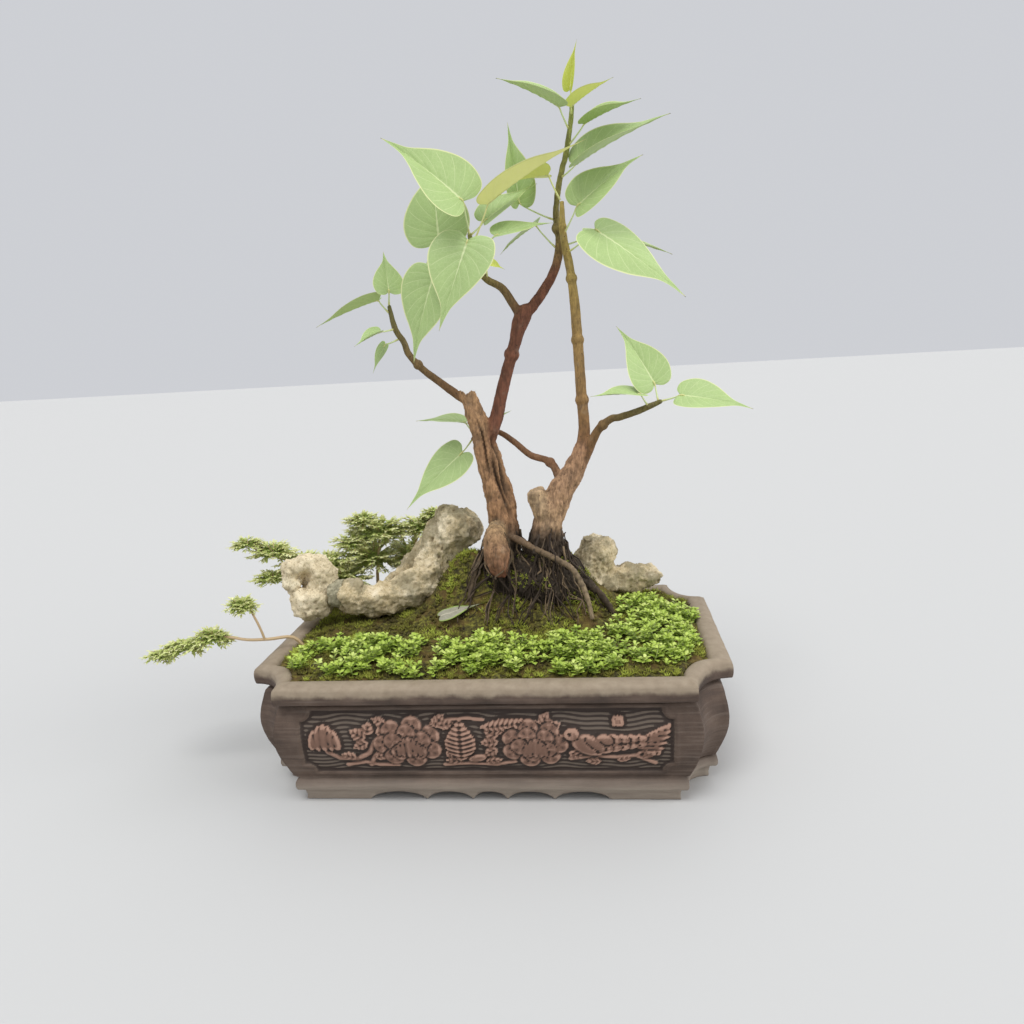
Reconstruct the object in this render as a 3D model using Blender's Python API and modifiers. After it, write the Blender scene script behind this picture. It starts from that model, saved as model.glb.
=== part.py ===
# A twin-trunked sacred fig bonsai on a stone-set mound, planted in a rectangular clay pot.
# Units are metres, +Z is up, and the viewer's side of the pot faces -Y.
import math

import bmesh
import bpy
from mathutils import Matrix, Vector, noise

MM = 0.001
GAP = 0.0003  # air kept between pieces that rest on or in each other

# Pot
POT_LENGTH = 0.268
POT_WIDTH = 0.172
POT_HEIGHT = 0.072
FOOT_HEIGHT = 0.007
BEAD_HEIGHT = 0.008
LIP_HEIGHT = 0.011
LIP_WIDTH = 0.012
FLOOR_THICKNESS = 0.008
FOOT_WIDTH = 0.009
FOOT_INSET = 0.0125
BELLY_INSET = 0.003
WAIST_INSET = 0.0102
NECK_INSET = 0.0072
INNER_TAPER = 0.008
CORNER_NOTCH = (0.022, 0.030)
PANEL_DEPTH = 0.0012
PANEL_MARGIN = 0.034
PANEL_CORNER = 0.006
ARCH_HEIGHT = 0.0047
DRAIN_RADIUS = 0.007
DRAIN_SPACING = 0.120

# Planting
USUAL_POT = (0.268, 0.172, 0.072)  # the pot that the planting's places were set out in
RIM_GROUND = 0.0705  # height of the moss where it meets the pot
DOME = 0.005
MOUND_HEIGHT = 0.030
MOUND_CENTRE = (0.012, 0.028)
MOUND_REACH = (0.058, 0.028)
KNOLL = (-0.021, 0.024, 0.020, 0.014)  # rise beside the ridge stone: x, y, reach and height
MOSS_THICKNESS = 0.004
COVER_HEIGHT = 0.007
ROOT_REACH = 0.012  # how far the usual root mass reaches towards the right stone

# Tree
TREE_HEIGHT = 0.310  # from the mound to the top bud
TREE_GIRTH = 1.0
USUAL_TREE = 310  # millimetres; the tree that the limbs were set out in
TREE_FOOT = (16, 20, 92)  # millimetres of the usual pot
LEAF_SCALE = 1.0
LEAF_THICKNESS = 0.0008
PETIOLE_RADIUS = 0.0007

# The middle of the whole object's box, seen from the middle of the pot
BOX_CENTRE = (-0.0302, 0.0)

# Limbs: x, y, z and radius in millimetres of the usual tree, from the tree's foot
LIMBS = {
    "left_trunk": [(-15, 0, -14, 15), (-13, 0, 6, 14), (-12, 0, 25, 11), (-10, 0, 41, 9),
                   (-13, 1, 63, 8.6), (-18, 2, 85, 7.6), (-23, 2, 107, 6), (-28, 2, 123, 5)],
    "left_shoot": [(-26, 2, 119, 3), (-33, 2, 122, 2.8), (-44, 0, 131, 2.4), (-54, -3, 140, 2.2),
                   (-61, -5, 149, 2), (-63, -6, 156, 1.9), (-67, -7, 163, 1.8), (-69, -7, 171, 1.6),
                   (-70, -7, 178, 1.2)],
    "centre_shoot": [(-19, 2, 84, 5), (-17, 2, 94, 4.8), (-11, 3, 109, 4.2), (-5, 4, 130, 3.8),
                     (2, 5, 151, 3.7), (8, 6, 168, 5.2), (14, 6, 173, 3.4), (22, 9, 183, 3),
                     (29, 11, 196, 2.7), (31, 13, 209, 2.2), (30, 14, 226, 1.9), (33, 13, 243, 1.7),
                     (38, 11, 260, 1.6), (41, 10, 275, 1.4), (42, 10, 284, 1.2)],
    "knot_shoot": [(7, 6, 167, 3), (3, 4, 174, 2.7), (-3, 0, 184, 2.4), (-11, -4, 189, 2.1),
                   (-16, -7, 196, 1.9), (-18, -9, 206, 1.6), (-19, -10, 215, 1.3)],
    "right_trunk": [(17, 0, -14, 19), (17, 0, 8, 16), (16, 0, 24, 12.5), (16, 0, 34, 10),
                    (19, 0, 46, 9), (27, 0, 62, 8), (36, 0, 76, 6.4), (41, 0, 88, 4.9)],
    "right_stub": [(18, -2, 42, 7), (13, -3, 56, 6.4), (11, -4, 63, 5.4)],
    "leader": [(40, 0, 84, 4.6), (42, 0, 99, 3.6), (41, 0, 124, 3.3), (40, 2, 154, 3.1),
               (39, 3, 175, 2.9), (37, 5, 194, 2.6), (34, 6, 212, 2.2), (34, 6, 231, 1.4)],
    "right_twig": [(37, 0, 76, 4), (42, -1, 82, 3.4), (50, -6, 98, 2.6), (58, -10, 105, 2.3),
                   (63, -12, 106, 2.2), (75, -16, 110, 2), (87, -20, 115, 1.4)],
    "cross_twig": [(27, 1, 64, 3), (21, 5, 78, 2.4), (8, 9, 83, 2.1), (-2, 13, 91, 2),
                   (-11, 16, 97, 1.8), (-22, 18, 99, 1.6), (-30, 20, 93, 1.3)],
    "root_mass": [(-12, 0, 0, 15), (2, 0, 4, 18), (18, -1, 2, 20), (30, -3, -2, 17), (38, -5, -6, 10)],
    "root_knob": [(-13, -5, 41, 5.5), (-12, -13, 34, 7.4), (-11, -18, 24, 8), (-10, -19, 14, 7.4),
                  (-9, -17, 3, 4)],
    "root_over": [(-8, -4, 36, 2.4), (1, -12, 33, 2.2), (12, -17, 28, 2), (24, -19, 22, 1.9),
                  (33, -22, 16, 1.8), (40, -27, 2, 1.6), (43, -30, -12, 1.4)],
    "root_left": [(-24, -3, 24, 2), (-29, -10, 14, 1.9), (-32, -17, 2, 1.6), (-34, -20, -14, 1.2)],
    "root_right": [(30, -4, 12, 3), (42, -12, 4, 2.4), (50, -14, -4, 2), (58, -16, -18, 1.5)],
    "root_back": [(16, 10, 14, 3), (16, 24, 4, 2.6), (18, 36, -6, 2), (18, 44, -20, 1.5)],
}
SMOOTH_LIMBS = {"left_shoot", "knot_shoot", "leader", "right_twig", "cross_twig", "root_over",
                "root_left", "root_right", "root_back"}
BURIED_LIMBS = ["root_knob", "left_trunk", "right_trunk", "root_mass", "root_over", "root_left",
                "root_right", "root_back"]

# Leaves: limb, share along it, stalk (heading, rise, length), blade (heading, rise, length),
# width, roll about the blade's axis, fold along the midrib; degrees and millimetres
LEAVES = {
    "leaf_top_bud": ("centre_shoot", 1.00, (240, 79, 5), (340, 83, 26), 10, 80, 40),
    "leaf_top_left": ("centre_shoot", 0.93, (231, 54, 12), (204, 28, 38), 24, -26, 28),
    "leaf_top_front": ("centre_shoot", 0.97, (272, 20, 6), (340, 30, 27), 14, 10, 38),
    "leaf_top_right": ("centre_shoot", 0.89, (331, 41, 13), (339, 20, 33), 20, 22, 26),
    "leaf_right_long": ("centre_shoot", 0.81, (320, 24, 12), (346, 27, 56), 34, 31, 22),
    "leaf_right_middle": ("leader", 0.87, (322, 53, 15), (343, 37, 44), 30, 58, 12),
    "leaf_right_big": ("leader", 0.80, (328, 29, 20), (342, -34, 64), 42, 30, -6),
    "leaf_right_behind": ("centre_shoot", 0.63, (20, 17, 18), (11, -7, 52), 32, 17, 8),
    "leaf_red_young": ("knot_shoot", 0.87, (340, 61, 22), (354, 34, 62), 22, 12, 50),
    "leaf_yellow_young": ("leader", 0.99, (210, 62, 14), (180, -1, 27), 20, 17, 20),
    "leaf_upright": ("centre_shoot", 0.70, (175, 28, 22), (159, 84, 48), 30, -46, 26),
    "leaf_inner_upper": ("knot_shoot", 0.97, (30, 40, 11), (12, 38, 37), 24, 33, 14),
    "leaf_inner_lower": ("knot_shoot", 0.82, (338, 26, 15), (4, 15, 33), 20, 30, 14),
    "leaf_inner_rear": ("centre_shoot", 0.62, (158, 48, 18), (149, -19, 32), 22, -24, 10),
    "leaf_left_high": ("knot_shoot", 0.94, (262, 63, 17), (198, 44, 54), 42, -59, 14),
    "leaf_left_round": ("knot_shoot", 0.74, (166, 32, 23), (118, 82, 50), 40, -34, 6),
    "leaf_front_hanging": ("knot_shoot", 0.66, (264, 35, 21), (219, -63, 52), 40, -35, 5),
    "leaf_left_hanging": ("knot_shoot", 0.54, (206, 7, 27), (198, -67, 52), 34, -54, 6),
    "leaf_left_shaded": ("knot_shoot", 0.60, (160, 13, 28), (150, -49, 26), 22, -60, 8),
    "leaf_small_up": ("left_shoot", 1.00, (294, 63, 6), (120, 84, 24), 19, 0, 10),
    "leaf_small_thin": ("left_shoot", 0.92, (191, 53, 8), (193, -14, 39), 17, 13, 24),
    "leaf_small_left": ("left_shoot", 0.82, (221, -8, 8), (217, -18, 18), 12, -17, 30),
    "leaf_small_low": ("left_shoot", 0.74, (188, -19, 8), (180, -55, 19), 9, -54, 10),
    "leaf_knot": ("knot_shoot", 0.52, (277, 48, 9), (331, -18, 13), 7, 32, 8),
    "leaf_cross_left": ("cross_twig", 0.95, (190, 55, 9), (203, 13, 31), 20, -13, 12),
    "leaf_cross_right": ("cross_twig", 0.85, (61, 29, 6), (14, 34, 15), 10, 13, 10),
    "leaf_low_hanging": ("cross_twig", 1.00, (226, -40, 9), (201, -36, 50), 30, -36, 6),
    "leaf_tip_left": ("right_twig", 0.88, (225, 50, 8), (204, 8, 30), 18, -17, 15),
    "leaf_tip_up": ("right_twig", 0.97, (120, 72, 9), (167, 63, 40), 27, -51, 8),
    "leaf_tip_right": ("right_twig", 1.00, (339, 16, 9), (345, -6, 40), 26, 34, 8),
}
# Half of the blade's edge for a blade 1 long and 2 wide, from the notch at the stalk to the tip
LEAF_EDGE = [(0, 0), (0.34, -0.07), (0.78, -0.04), (1, 0.12), (0.96, 0.30), (0.70, 0.49),
             (0.38, 0.64), (0.17, 0.75), (0.07, 0.87), (0, 1)]

# Stones: limbs of x, y, z and radius in millimetres, z from the pot's base
STONES = {
    "stone_head": [[(-119, 9, 78, 6), (-119, 9, 83, 12), (-119, 9, 91, 12.5), (-119, 10, 98, 8)],
                   [(-115, 10, 95, 8), (-111, 11, 105, 8), (-114, 11, 112, 7.5), (-121, 11, 114, 7),
                    (-129, 10, 112, 7), (-132, 9, 107, 6.5), (-127, 9, 100, 6)]],
    "stone_ridge": [[(-101, 12, 94, 6), (-98, 12, 93, 11), (-93, 14, 88, 10), (-85, 15, 87, 10),
                     (-76, 17, 87, 11), (-64, 22, 89, 12), (-54, 26, 93, 12.5), (-45, 30, 101, 12),
                     (-40, 33, 113, 12.5), (-33, 36, 124, 14), (-25, 38, 131, 14.5), (-20, 39, 138, 9)],
                    [(-80, 42, 82, 7), (-66, 44, 91, 10), (-53, 44, 102, 12), (-44, 42, 112, 12),
                     (-34, 40, 122, 9)]],
    "stone_right": [[(61, 46, 78, 13), (61, 46, 94, 14), (62, 46, 107, 13.5), (62, 46, 117, 8)],
                    [(66, 46, 86, 12), (78, 47, 88, 10.5), (88, 48, 87, 9), (97, 49, 88, 7.5),
                     (103, 50, 85, 5)]],
}
JOINT = [(-108, 10, 94, 9), (-98, 11, 94, 9)]

# Shrub branches: a stem and the leafy clouds on it (x, y, z and radii) in millimetres
SHRUB = {
    "shrub_trailing": ([[(-114, -22, 68, 1.5), (-121, -25, 78, 1.4), (-134, -30, 79, 1.3),
                         (-146, -33, 80, 1.2), (-158, -33, 82, 1.1), (-166, -33, 81, 1)],
                        [(-136, -31, 79, 1), (-138, -32, 88, 1), (-142, -32, 98, 0.9)]],
                       [(-168, -33, 81, 13, 7, 5), (-186, -34, 76, 13, 6, 4.5), (-202, -35, 71, 11, 4, 3.5),
                        (-147, -32, 101, 9, 6, 4.5)]),
    "shrub_left": ([[(-106, 32, 68, 1.6), (-110, 33, 90, 1.4), (-122, 33, 103, 1.2),
                     (-142, 31, 111, 1), (-156, 30, 117, 0.9), (-170, 30, 123, 0.8)],
                    [(-124, 33, 103, 1), (-140, 29, 101, 0.9), (-150, 28, 101, 0.8)]],
                   [(-132, 32, 109, 13, 8, 6), (-152, 31, 118, 13, 7, 5), (-169, 30, 123, 8, 5, 3.5),
                    (-151, 28, 100, 12, 6, 4)]),
    "shrub_low": ([[(-100, 44, 68, 1.6), (-104, 48, 84, 1.4), (-108, 50, 94, 1.2)]],
                  [(-112, 51, 92, 14, 9, 10)]),
    "shrub_crown": ([[(-90, 58, 68, 1.8), (-90, 60, 92, 1.5), (-87, 60, 112, 1.2)]],
                    [(-93, 61, 104, 15, 9, 12), (-85, 60, 122, 17, 9, 8), (-97, 61, 129, 9, 6, 4)]),
    "shrub_right": ([[(-76, 62, 68, 1.6), (-73, 64, 92, 1.4), (-66, 64, 106, 1.2), (-57, 62, 122, 1)]],
                    [(-66, 64, 104, 12, 8, 11), (-57, 62, 124, 12, 7, 7), (-46, 61, 132, 8, 5, 4)]),
}

# Ground-cover patches: middle and half sizes in millimetres
COVER = {
    "cover_front_left": (-84, -46, 27, 21),
    "cover_front_inner_left": (-36, -50, 19, 19),
    "cover_front_middle": (6, -48, 20, 20),
    "cover_front_right": (51, -50, 22, 18),
    "cover_right_corner": (95, -30, 19, 28),
    "cover_right_back": (96, 17, 18, 16),
    "cover_back": (-12, 65, 24, 6),
}
FALLEN_LEAF = (-33, -9, 15)  # x, y and heading


def add_object(name, mesh, collection, parent=None):
    thing = bpy.data.objects.new(name, mesh)
    collection.objects.link(thing)
    thing.parent = parent
    return thing


def add_material(name, colour, roughness):
    material = bpy.data.materials.new(name)
    material.use_nodes = True
    shader = material.node_tree.nodes["Principled BSDF"]
    shader.inputs["Base Color"].default_value = (*colour, 1)
    shader.inputs["Roughness"].default_value = roughness
    shader.inputs["Metallic"].default_value = 0
    material.diffuse_color = (*colour, 1)
    return material


def loft(name, rings):
    """A closed mesh through rings of equal length, with flat ends."""
    mesh = bpy.data.meshes.new(name)
    bm = bmesh.new()
    loops = [[bm.verts.new(point) for point in ring] for ring in rings]
    for lower, upper in zip(loops, loops[1:]):
        for i, vertex in enumerate(lower):
            j = (i + 1) % len(lower)
            bm.faces.new((vertex, lower[j], upper[j], upper[i]))
    bm.faces.new(loops[0])
    bm.faces.new(loops[-1])
    bmesh.ops.triangulate(bm, faces=bm.faces)
    bmesh.ops.recalc_face_normals(bm, faces=bm.faces)
    bm.to_mesh(mesh)
    bm.free()
    return mesh


def smooth_path(points, steps=3):
    """Points and radii read from a smooth curve through the given ones."""
    rows = [Vector(point) for point in points]
    path = []
    for i in range(len(rows) - 1):
        before, start, end = rows[max(i - 1, 0)], rows[i], rows[i + 1]
        after = rows[min(i + 2, len(rows) - 1)]
        for k in range(steps):
            t = k / steps
            path.append(0.5 * (2 * start + (end - before) * t
                               + (2 * before - 5 * start + 4 * end - after) * t ** 2
                               + (3 * start - before - 3 * end + after) * t ** 3))
    path.append(rows[-1])
    return path


def tube_mesh(name, path, sides, roughness=0.0, grow=0.0):
    """A curve's tube as a mesh, its surface roughened by noise and then grown outwards."""
    curve = bpy.data.curves.new(name, "CURVE")
    curve.dimensions = "3D"
    curve.bevel_depth = 1
    curve.bevel_resolution = sides // 2 - 2
    curve.use_fill_caps = True
    spline = curve.splines.new("POLY")
    spline.points.add(len(path) - 1)
    for point, row in zip(spline.points, path):
        point.co = (*row[:3], 1)
        point.radius = row[3]
    holder = bpy.data.objects.new(name, curve)
    mesh = bpy.data.meshes.new_from_object(holder)
    bpy.data.objects.remove(holder)
    bm = bmesh.new()
    bm.from_mesh(mesh)
    bmesh.ops.remove_doubles(bm, verts=bm.verts, dist=1e-6)
    bmesh.ops.recalc_face_normals(bm, faces=bm.faces)
    bm.normal_update()
    moves = []
    for vertex in bm.verts:
        swell = roughness * noise.noise(vertex.co / (9 * MM))
        moves.append(vertex.normal * (swell + grow))
    for vertex, move in zip(bm.verts, moves):
        vertex.co += move
    bmesh.ops.triangulate(bm, faces=bm.faces)
    bm.to_mesh(mesh)
    bm.free()
    return mesh


def combine(thing, tool, operation):
    """Join or cut thing with tool through a Boolean modifier."""
    tool.hide_render = True
    tool.display_type = "WIRE"
    boolean = thing.modifiers.new(tool.name, "BOOLEAN")
    boolean.object = tool
    boolean.operation = operation
    boolean.solver = "EXACT"


# --- pot ---

def pot_outline(inset, notch):
    """The rectangle with hollow corners, at an inset from the rim's edge."""
    half = (POT_LENGTH / 2 - inset, POT_WIDTH / 2 - inset)
    depth = (CORNER_NOTCH[0] * notch, CORNER_NOTCH[1] * notch)
    outline = []
    for sign_x, sign_y in ((1, 1), (-1, 1), (-1, -1), (1, -1)):
        arc = []
        for k in range(6):
            turn = math.radians(18 * k)
            arc.append((sign_x * (half[0] - depth[0] * math.cos(turn)),
                        sign_y * (half[1] - depth[1] * math.sin(turn))))
        outline += arc if sign_x * sign_y < 0 else arc[::-1]
    return outline


def pot_ring(height, inset, notch):
    return [(x, y, height) for x, y in pot_outline(inset, notch)]


def belly_inset(height):
    """How far the body stands inside the rim's edge at a height between bead and neck."""
    low = FOOT_HEIGHT + BEAD_HEIGHT
    high = POT_HEIGHT - LIP_HEIGHT
    share = (height - low) / (high - low)
    widest = 0.58
    fall = (widest - share) / widest if share < widest else (share - widest) / (1 - widest)
    end = WAIST_INSET if share < widest else NECK_INSET
    return BELLY_INSET + (end - BELLY_INSET) * fall ** 1.7


def inner_inset(height):
    """How far the inner wall stands inside the rim's edge at a height."""
    floor = FOOT_HEIGHT + FLOOR_THICKNESS
    share = (POT_HEIGHT - height) / (POT_HEIGHT - floor)
    return LIP_WIDTH + INNER_TAPER * share


INNER_NOTCH = 0.72


def pot_rings():
    under = FOOT_HEIGHT - 0.001
    bead = FOOT_HEIGHT + BEAD_HEIGHT
    neck = POT_HEIGHT - LIP_HEIGHT
    inside = FOOT_INSET + FOOT_WIDTH
    rings = [pot_ring(under, inside + 0.001, 0.55), pot_ring(0, inside, 0.55),
             pot_ring(0, FOOT_INSET, 0.82), pot_ring(FOOT_HEIGHT, FOOT_INSET - 0.001, 0.84)]
    for k in range(4):
        turn = math.pi * k / 3
        swell = 0.0022 * math.sin(turn)
        rings.append(pot_ring(FOOT_HEIGHT + 0.0005 + (BEAD_HEIGHT - 0.001) * k / 3,
                              WAIST_INSET - swell, 0.84))
    for k in range(7):
        height = bead + 0.001 + (neck - bead - 0.003) * k / 6
        rings.append(pot_ring(height, belly_inset(height), 0.74))
    rings += [pot_ring(neck - 0.0012, NECK_INSET + 0.001, 0.76), pot_ring(neck, NECK_INSET, 0.8),
              pot_ring(neck + 0.0006, 0.0015, 0.98), pot_ring(neck + 0.002, 0, 1),
              pot_ring(POT_HEIGHT - 0.003, 0, 1), pot_ring(POT_HEIGHT - 0.001, 0.001, 0.98),
              pot_ring(POT_HEIGHT, 0.0035, 0.95), pot_ring(POT_HEIGHT, LIP_WIDTH - 0.001, 0.75)]
    floor = FOOT_HEIGHT + FLOOR_THICKNESS
    for height in (POT_HEIGHT - 0.0015, (POT_HEIGHT + floor) / 2, floor):
        rings.append(pot_ring(height, inner_inset(height), INNER_NOTCH))
    return rings


def arch_cutters(collection, parent):
    """Low arches through the foot: share of the side where each starts and ends."""
    sides = (((0.163, 0.324), (0.324, 0.454), (0.454, 0.55), (0.55, 0.68), (0.68, 0.833)),
             ((0.2, 0.4), (0.4, 0.6), (0.6, 0.8)))
    spans = (POT_LENGTH - 2 * FOOT_INSET - 2 * CORNER_NOTCH[0],
             POT_WIDTH - 2 * FOOT_INSET - 2 * CORNER_NOTCH[1])
    through = (POT_WIDTH, POT_LENGTH)
    sunk = 0.0007
    cutters = []
    for side, arches in enumerate(sides):
        for low, high in arches:
            width = (high - low) * spans[side] - 0.0008
            middle = ((low + high) / 2 - 0.5) * spans[side]
            bpy.ops.mesh.primitive_cylinder_add(vertices=20, radius=1, depth=through[side])
            cutter = bpy.context.object
            cutter.name = f"cut_arch_{len(cutters) + 1}"
            cutter.data.transform(Matrix.Diagonal((width / 2, ARCH_HEIGHT + sunk, 1, 1)))
            cutter.data.transform(Matrix.Rotation(math.radians(90), 4, "X"))
            cutter.data.transform(Matrix.Rotation(math.radians(90 * side), 4, "Z"))
            cutter.location = (0, middle, -sunk) if side else (middle, 0, -sunk)
            cutters.append(cutter)
    for sign in (-1, 1):
        bpy.ops.mesh.primitive_cylinder_add(vertices=24, radius=DRAIN_RADIUS, depth=0.05)
        cutter = bpy.context.object
        cutter.name = "cut_drain_" + ("left" if sign < 0 else "right")
        cutter.location = (sign * DRAIN_SPACING / 2, 0, FOOT_HEIGHT)
        cutters.append(cutter)
    for cutter in cutters:
        for owner in cutter.users_collection:
            owner.objects.unlink(cutter)
        collection.objects.link(cutter)
        cutter.parent = parent
    return cutters


def panel_cutter(name, length, side, outward, collection, parent):
    """A slab that follows the belly and sinks a panel with hollow corners into one side."""
    low, high = FOOT_HEIGHT + BEAD_HEIGHT + 0.004, POT_HEIGHT - LIP_HEIGHT - 0.004
    rings = []
    for k in range(15):
        height = low + (high - low) * k / 14
        into_corner = 1 - min(height - low, high - height, PANEL_CORNER) / PANEL_CORNER
        half = length / 2 - PANEL_CORNER * math.sqrt(1 - (1 - into_corner) ** 2)
        face = side - belly_inset(height)
        rings.append([(-half, PANEL_DEPTH - face, height), (-half, -face - 0.004, height),
                      (half, -face - 0.004, height), (half, PANEL_DEPTH - face, height)])
    mesh = loft(name, rings)
    mesh.transform(Matrix.Rotation(outward, 4, "Z"))
    return add_object(name, mesh, collection, parent)


def add_pot(parts, cutters, parent):
    pot = add_object("pot", loft("pot", pot_rings()), parts, parent)
    for cutter in arch_cutters(cutters, parent):
        combine(pot, cutter, "DIFFERENCE")
    panels = (("front", POT_LENGTH, POT_WIDTH, 0), ("back", POT_LENGTH, POT_WIDTH, 180),
              ("right", POT_WIDTH, POT_LENGTH, 90), ("left", POT_WIDTH, POT_LENGTH, -90))
    for name, length, across, turn in panels:
        margin = PANEL_MARGIN if length == POT_LENGTH else PANEL_MARGIN + 0.006
        cutter = panel_cutter("cut_panel_" + name, length - 2 * margin, across / 2,
                              math.radians(turn), cutters, parent)
        combine(pot, cutter, "DIFFERENCE")
    return pot


# --- planting ---

def room():
    """How long and wide the pot's inside is, as shares of the usual one."""
    return ((POT_LENGTH - 2 * LIP_WIDTH) / (USUAL_POT[0] - 2 * LIP_WIDTH),
            (POT_WIDTH - 2 * LIP_WIDTH) / (USUAL_POT[1] - 2 * LIP_WIDTH))


def in_pot(x, y):
    """A place in millimetres of the usual pot, moved with the pot's inside."""
    return x * MM * room()[0], y * MM * room()[1]


def thickening():
    """How thick the tree's limbs are, as a share of the usual tree's."""
    return TREE_GIRTH * TREE_HEIGHT / (USUAL_TREE * MM)


def raised(z):
    """A height in millimetres from the usual pot's base, moved with the rim."""
    return z * MM + POT_HEIGHT - USUAL_POT[2]


def ground(x, y):
    """Height of the moss."""
    inside = (POT_LENGTH / 2 - LIP_WIDTH, POT_WIDTH / 2 - LIP_WIDTH)
    edge = max(abs(x) / inside[0], abs(y) / inside[1])
    across = abs(x - MOUND_CENTRE[0]) / MOUND_REACH[0]
    along = abs(y - MOUND_CENTRE[1]) / MOUND_REACH[1]
    mound = MOUND_HEIGHT * math.exp(-across ** 3.5 - along ** 2.2)
    away = math.hypot(x - KNOLL[0], y - KNOLL[1]) / KNOLL[2]
    mound += KNOLL[3] * math.exp(-away ** 2)
    fade = max(0.0, 1 - min(edge, 1) ** 4)
    return RIM_GROUND + POT_HEIGHT - USUAL_POT[2] + (DOME + mound) * fade


def bed_ring(share, inset, height):
    """A ring of the pot's inner outline, shrunk towards the mound."""
    centre = MOUND_CENTRE
    ring = []
    for x, y in pot_outline(inset, INNER_NOTCH):
        px = centre[0] + (x - centre[0]) * share
        py = centre[1] + (y - centre[1]) * share
        ring.append((px, py, height(px, py)))
    return ring


BED_SHARES = (1.0, 0.9, 0.8, 0.7, 0.6, 0.5, 0.4, 0.3, 0.16)


def add_soil(parts, parent):
    floor = FOOT_HEIGHT + FLOOR_THICKNESS + GAP

    def top(x, y):
        return ground(x, y) - MOSS_THICKNESS - GAP

    side = inner_inset(RIM_GROUND) + 2 * GAP
    rings = [pot_ring(floor, inner_inset(floor) + 2 * GAP, INNER_NOTCH)]
    rings += [bed_ring(share, side, top) for share in BED_SHARES]
    return add_object("soil", loft("soil", rings), parts, parent)


def add_moss(parts, parent):
    def under(x, y):
        return ground(x, y) - MOSS_THICKNESS

    side = inner_inset(RIM_GROUND) + 2 * GAP
    rings = [bed_ring(share, side, under) for share in reversed(BED_SHARES)]
    rings += [bed_ring(share, side, ground) for share in BED_SHARES]
    return add_object("moss_carpet", loft("moss_carpet", rings), parts, parent)


def stone_path(points, shift=0.0):
    path = []
    for x, y, z, radius in points:
        px, py = in_pot(x, y)
        path.append((px + shift, py + shift, raised(z), radius * MM * min(room())))
    return smooth_path(path, 2)


def stone_limbs(name, collection, parent, grow):
    limbs = []
    beside_roots = name == "stone_right"
    shift = ROOT_REACH * (thickening() - 1) if beside_roots else 0
    for index, points in enumerate(STONES[name]):
        mesh = tube_mesh(name, stone_path(points, shift), 12, 0.0035, grow)
        label = name if index == 0 and not grow else f"{name}_limb_{index}_{'cut' if grow else 'join'}"
        limbs.append(add_object(label, mesh, collection, parent))
    return limbs


def add_stones(parts, cutters, parent):
    stones = []
    for name in STONES:
        limbs = stone_limbs(name, cutters, parent, 0)
        cutters.objects.unlink(limbs[0])
        parts.objects.link(limbs[0])
        for limb in limbs[1:]:
            combine(limbs[0], limb, "UNION")
        stones.append(limbs[0])
    return stones


def add_joint(parts, cutters, parent):
    """Cement between the head stone and the ridge."""
    joint = add_object("stone_joint", tube_mesh("stone_joint", stone_path(JOINT), 16), parts, parent)
    for name in ("stone_head", "stone_ridge"):
        limb = stone_limbs(name, cutters, parent, GAP)
        for cutter in limb:
            combine(joint, cutter, "DIFFERENCE")
    return joint


def add_cover(parts, parent):
    patches = []
    for name, (x, y, reach_x, reach_y) in COVER.items():
        middle = in_pot(x, y)
        reach = (reach_x * MM * room()[0], reach_y * MM * room()[1])
        rings = []
        for share, lift in ((0.3, 0), (0.7, 0), (0.97, 0), (1, 0.3), (0.9, 0.6), (0.65, 0.85), (0.3, 1)):
            ring = []
            for k in range(14):
                turn = 2 * math.pi * k / 14
                px = middle[0] + reach[0] * share * math.cos(turn)
                py = middle[1] + reach[1] * share * math.sin(turn)
                ring.append((px, py, ground(px, py) + 3 * GAP + COVER_HEIGHT * lift))
            rings.append(ring)
        patches.append(add_object(name, loft(name, rings), parts, parent))
    return patches


def shrub_point(name, x, y, z):
    """A place on a branch; the whole branch shrinks and grows with the pot, from its root."""
    root_x, root_y, root_z, _ = SHRUB[name][0][0][0]
    foot = Vector((*in_pot(root_x, root_y), raised(root_z)))
    return foot + Vector((x - root_x, y - root_y, z - root_z)) * MM * min(room())


def shrub_path(name, points):
    path = []
    for x, y, z, radius in points:
        path.append((*shrub_point(name, x, y, z), radius * MM))
    return smooth_path(path, 2)


def add_shrub(parts, cutters, parent):
    branches = []
    for name, (stems, clouds) in SHRUB.items():
        meshes = [tube_mesh(name, shrub_path(name, points), 8) for points in stems]
        branch = add_object(name, meshes[0], parts, parent)
        for index, mesh in enumerate(meshes[1:]):
            combine(branch, add_object(f"{name}_stem_{index}", mesh, cutters, parent), "UNION")
        for index, (x, y, z, *radii) in enumerate(clouds):
            bm = bmesh.new()
            bmesh.ops.create_icosphere(bm, subdivisions=1, radius=1.15)
            bmesh.ops.scale(bm, vec=Vector(radii) * MM * min(room()), verts=bm.verts)
            bmesh.ops.translate(bm, vec=shrub_point(name, x, y, z), verts=bm.verts)
            mesh = bpy.data.meshes.new(name)
            bm.to_mesh(mesh)
            bm.free()
            cloud = add_object(f"{name}_cloud_{index}", mesh, cutters, parent)
            combine(branch, cloud, "UNION")
        branches.append(branch)
    return branches


# --- tree ---

def limb_path(name):
    """A limb's path and radii; the roots follow the pot and the other limbs the tree's height."""
    scale = MM * min(room()) if name.startswith("root_") else TREE_HEIGHT / USUAL_TREE
    foot = Vector((*in_pot(TREE_FOOT[0], TREE_FOOT[1]), raised(TREE_FOOT[2])))
    rows = []
    for x, y, z, radius in LIMBS[name]:
        place = foot + scale * Vector((x, y, z))
        rows.append((*place, radius * MM * thickening()))
    return smooth_path(rows, 2)


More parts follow.
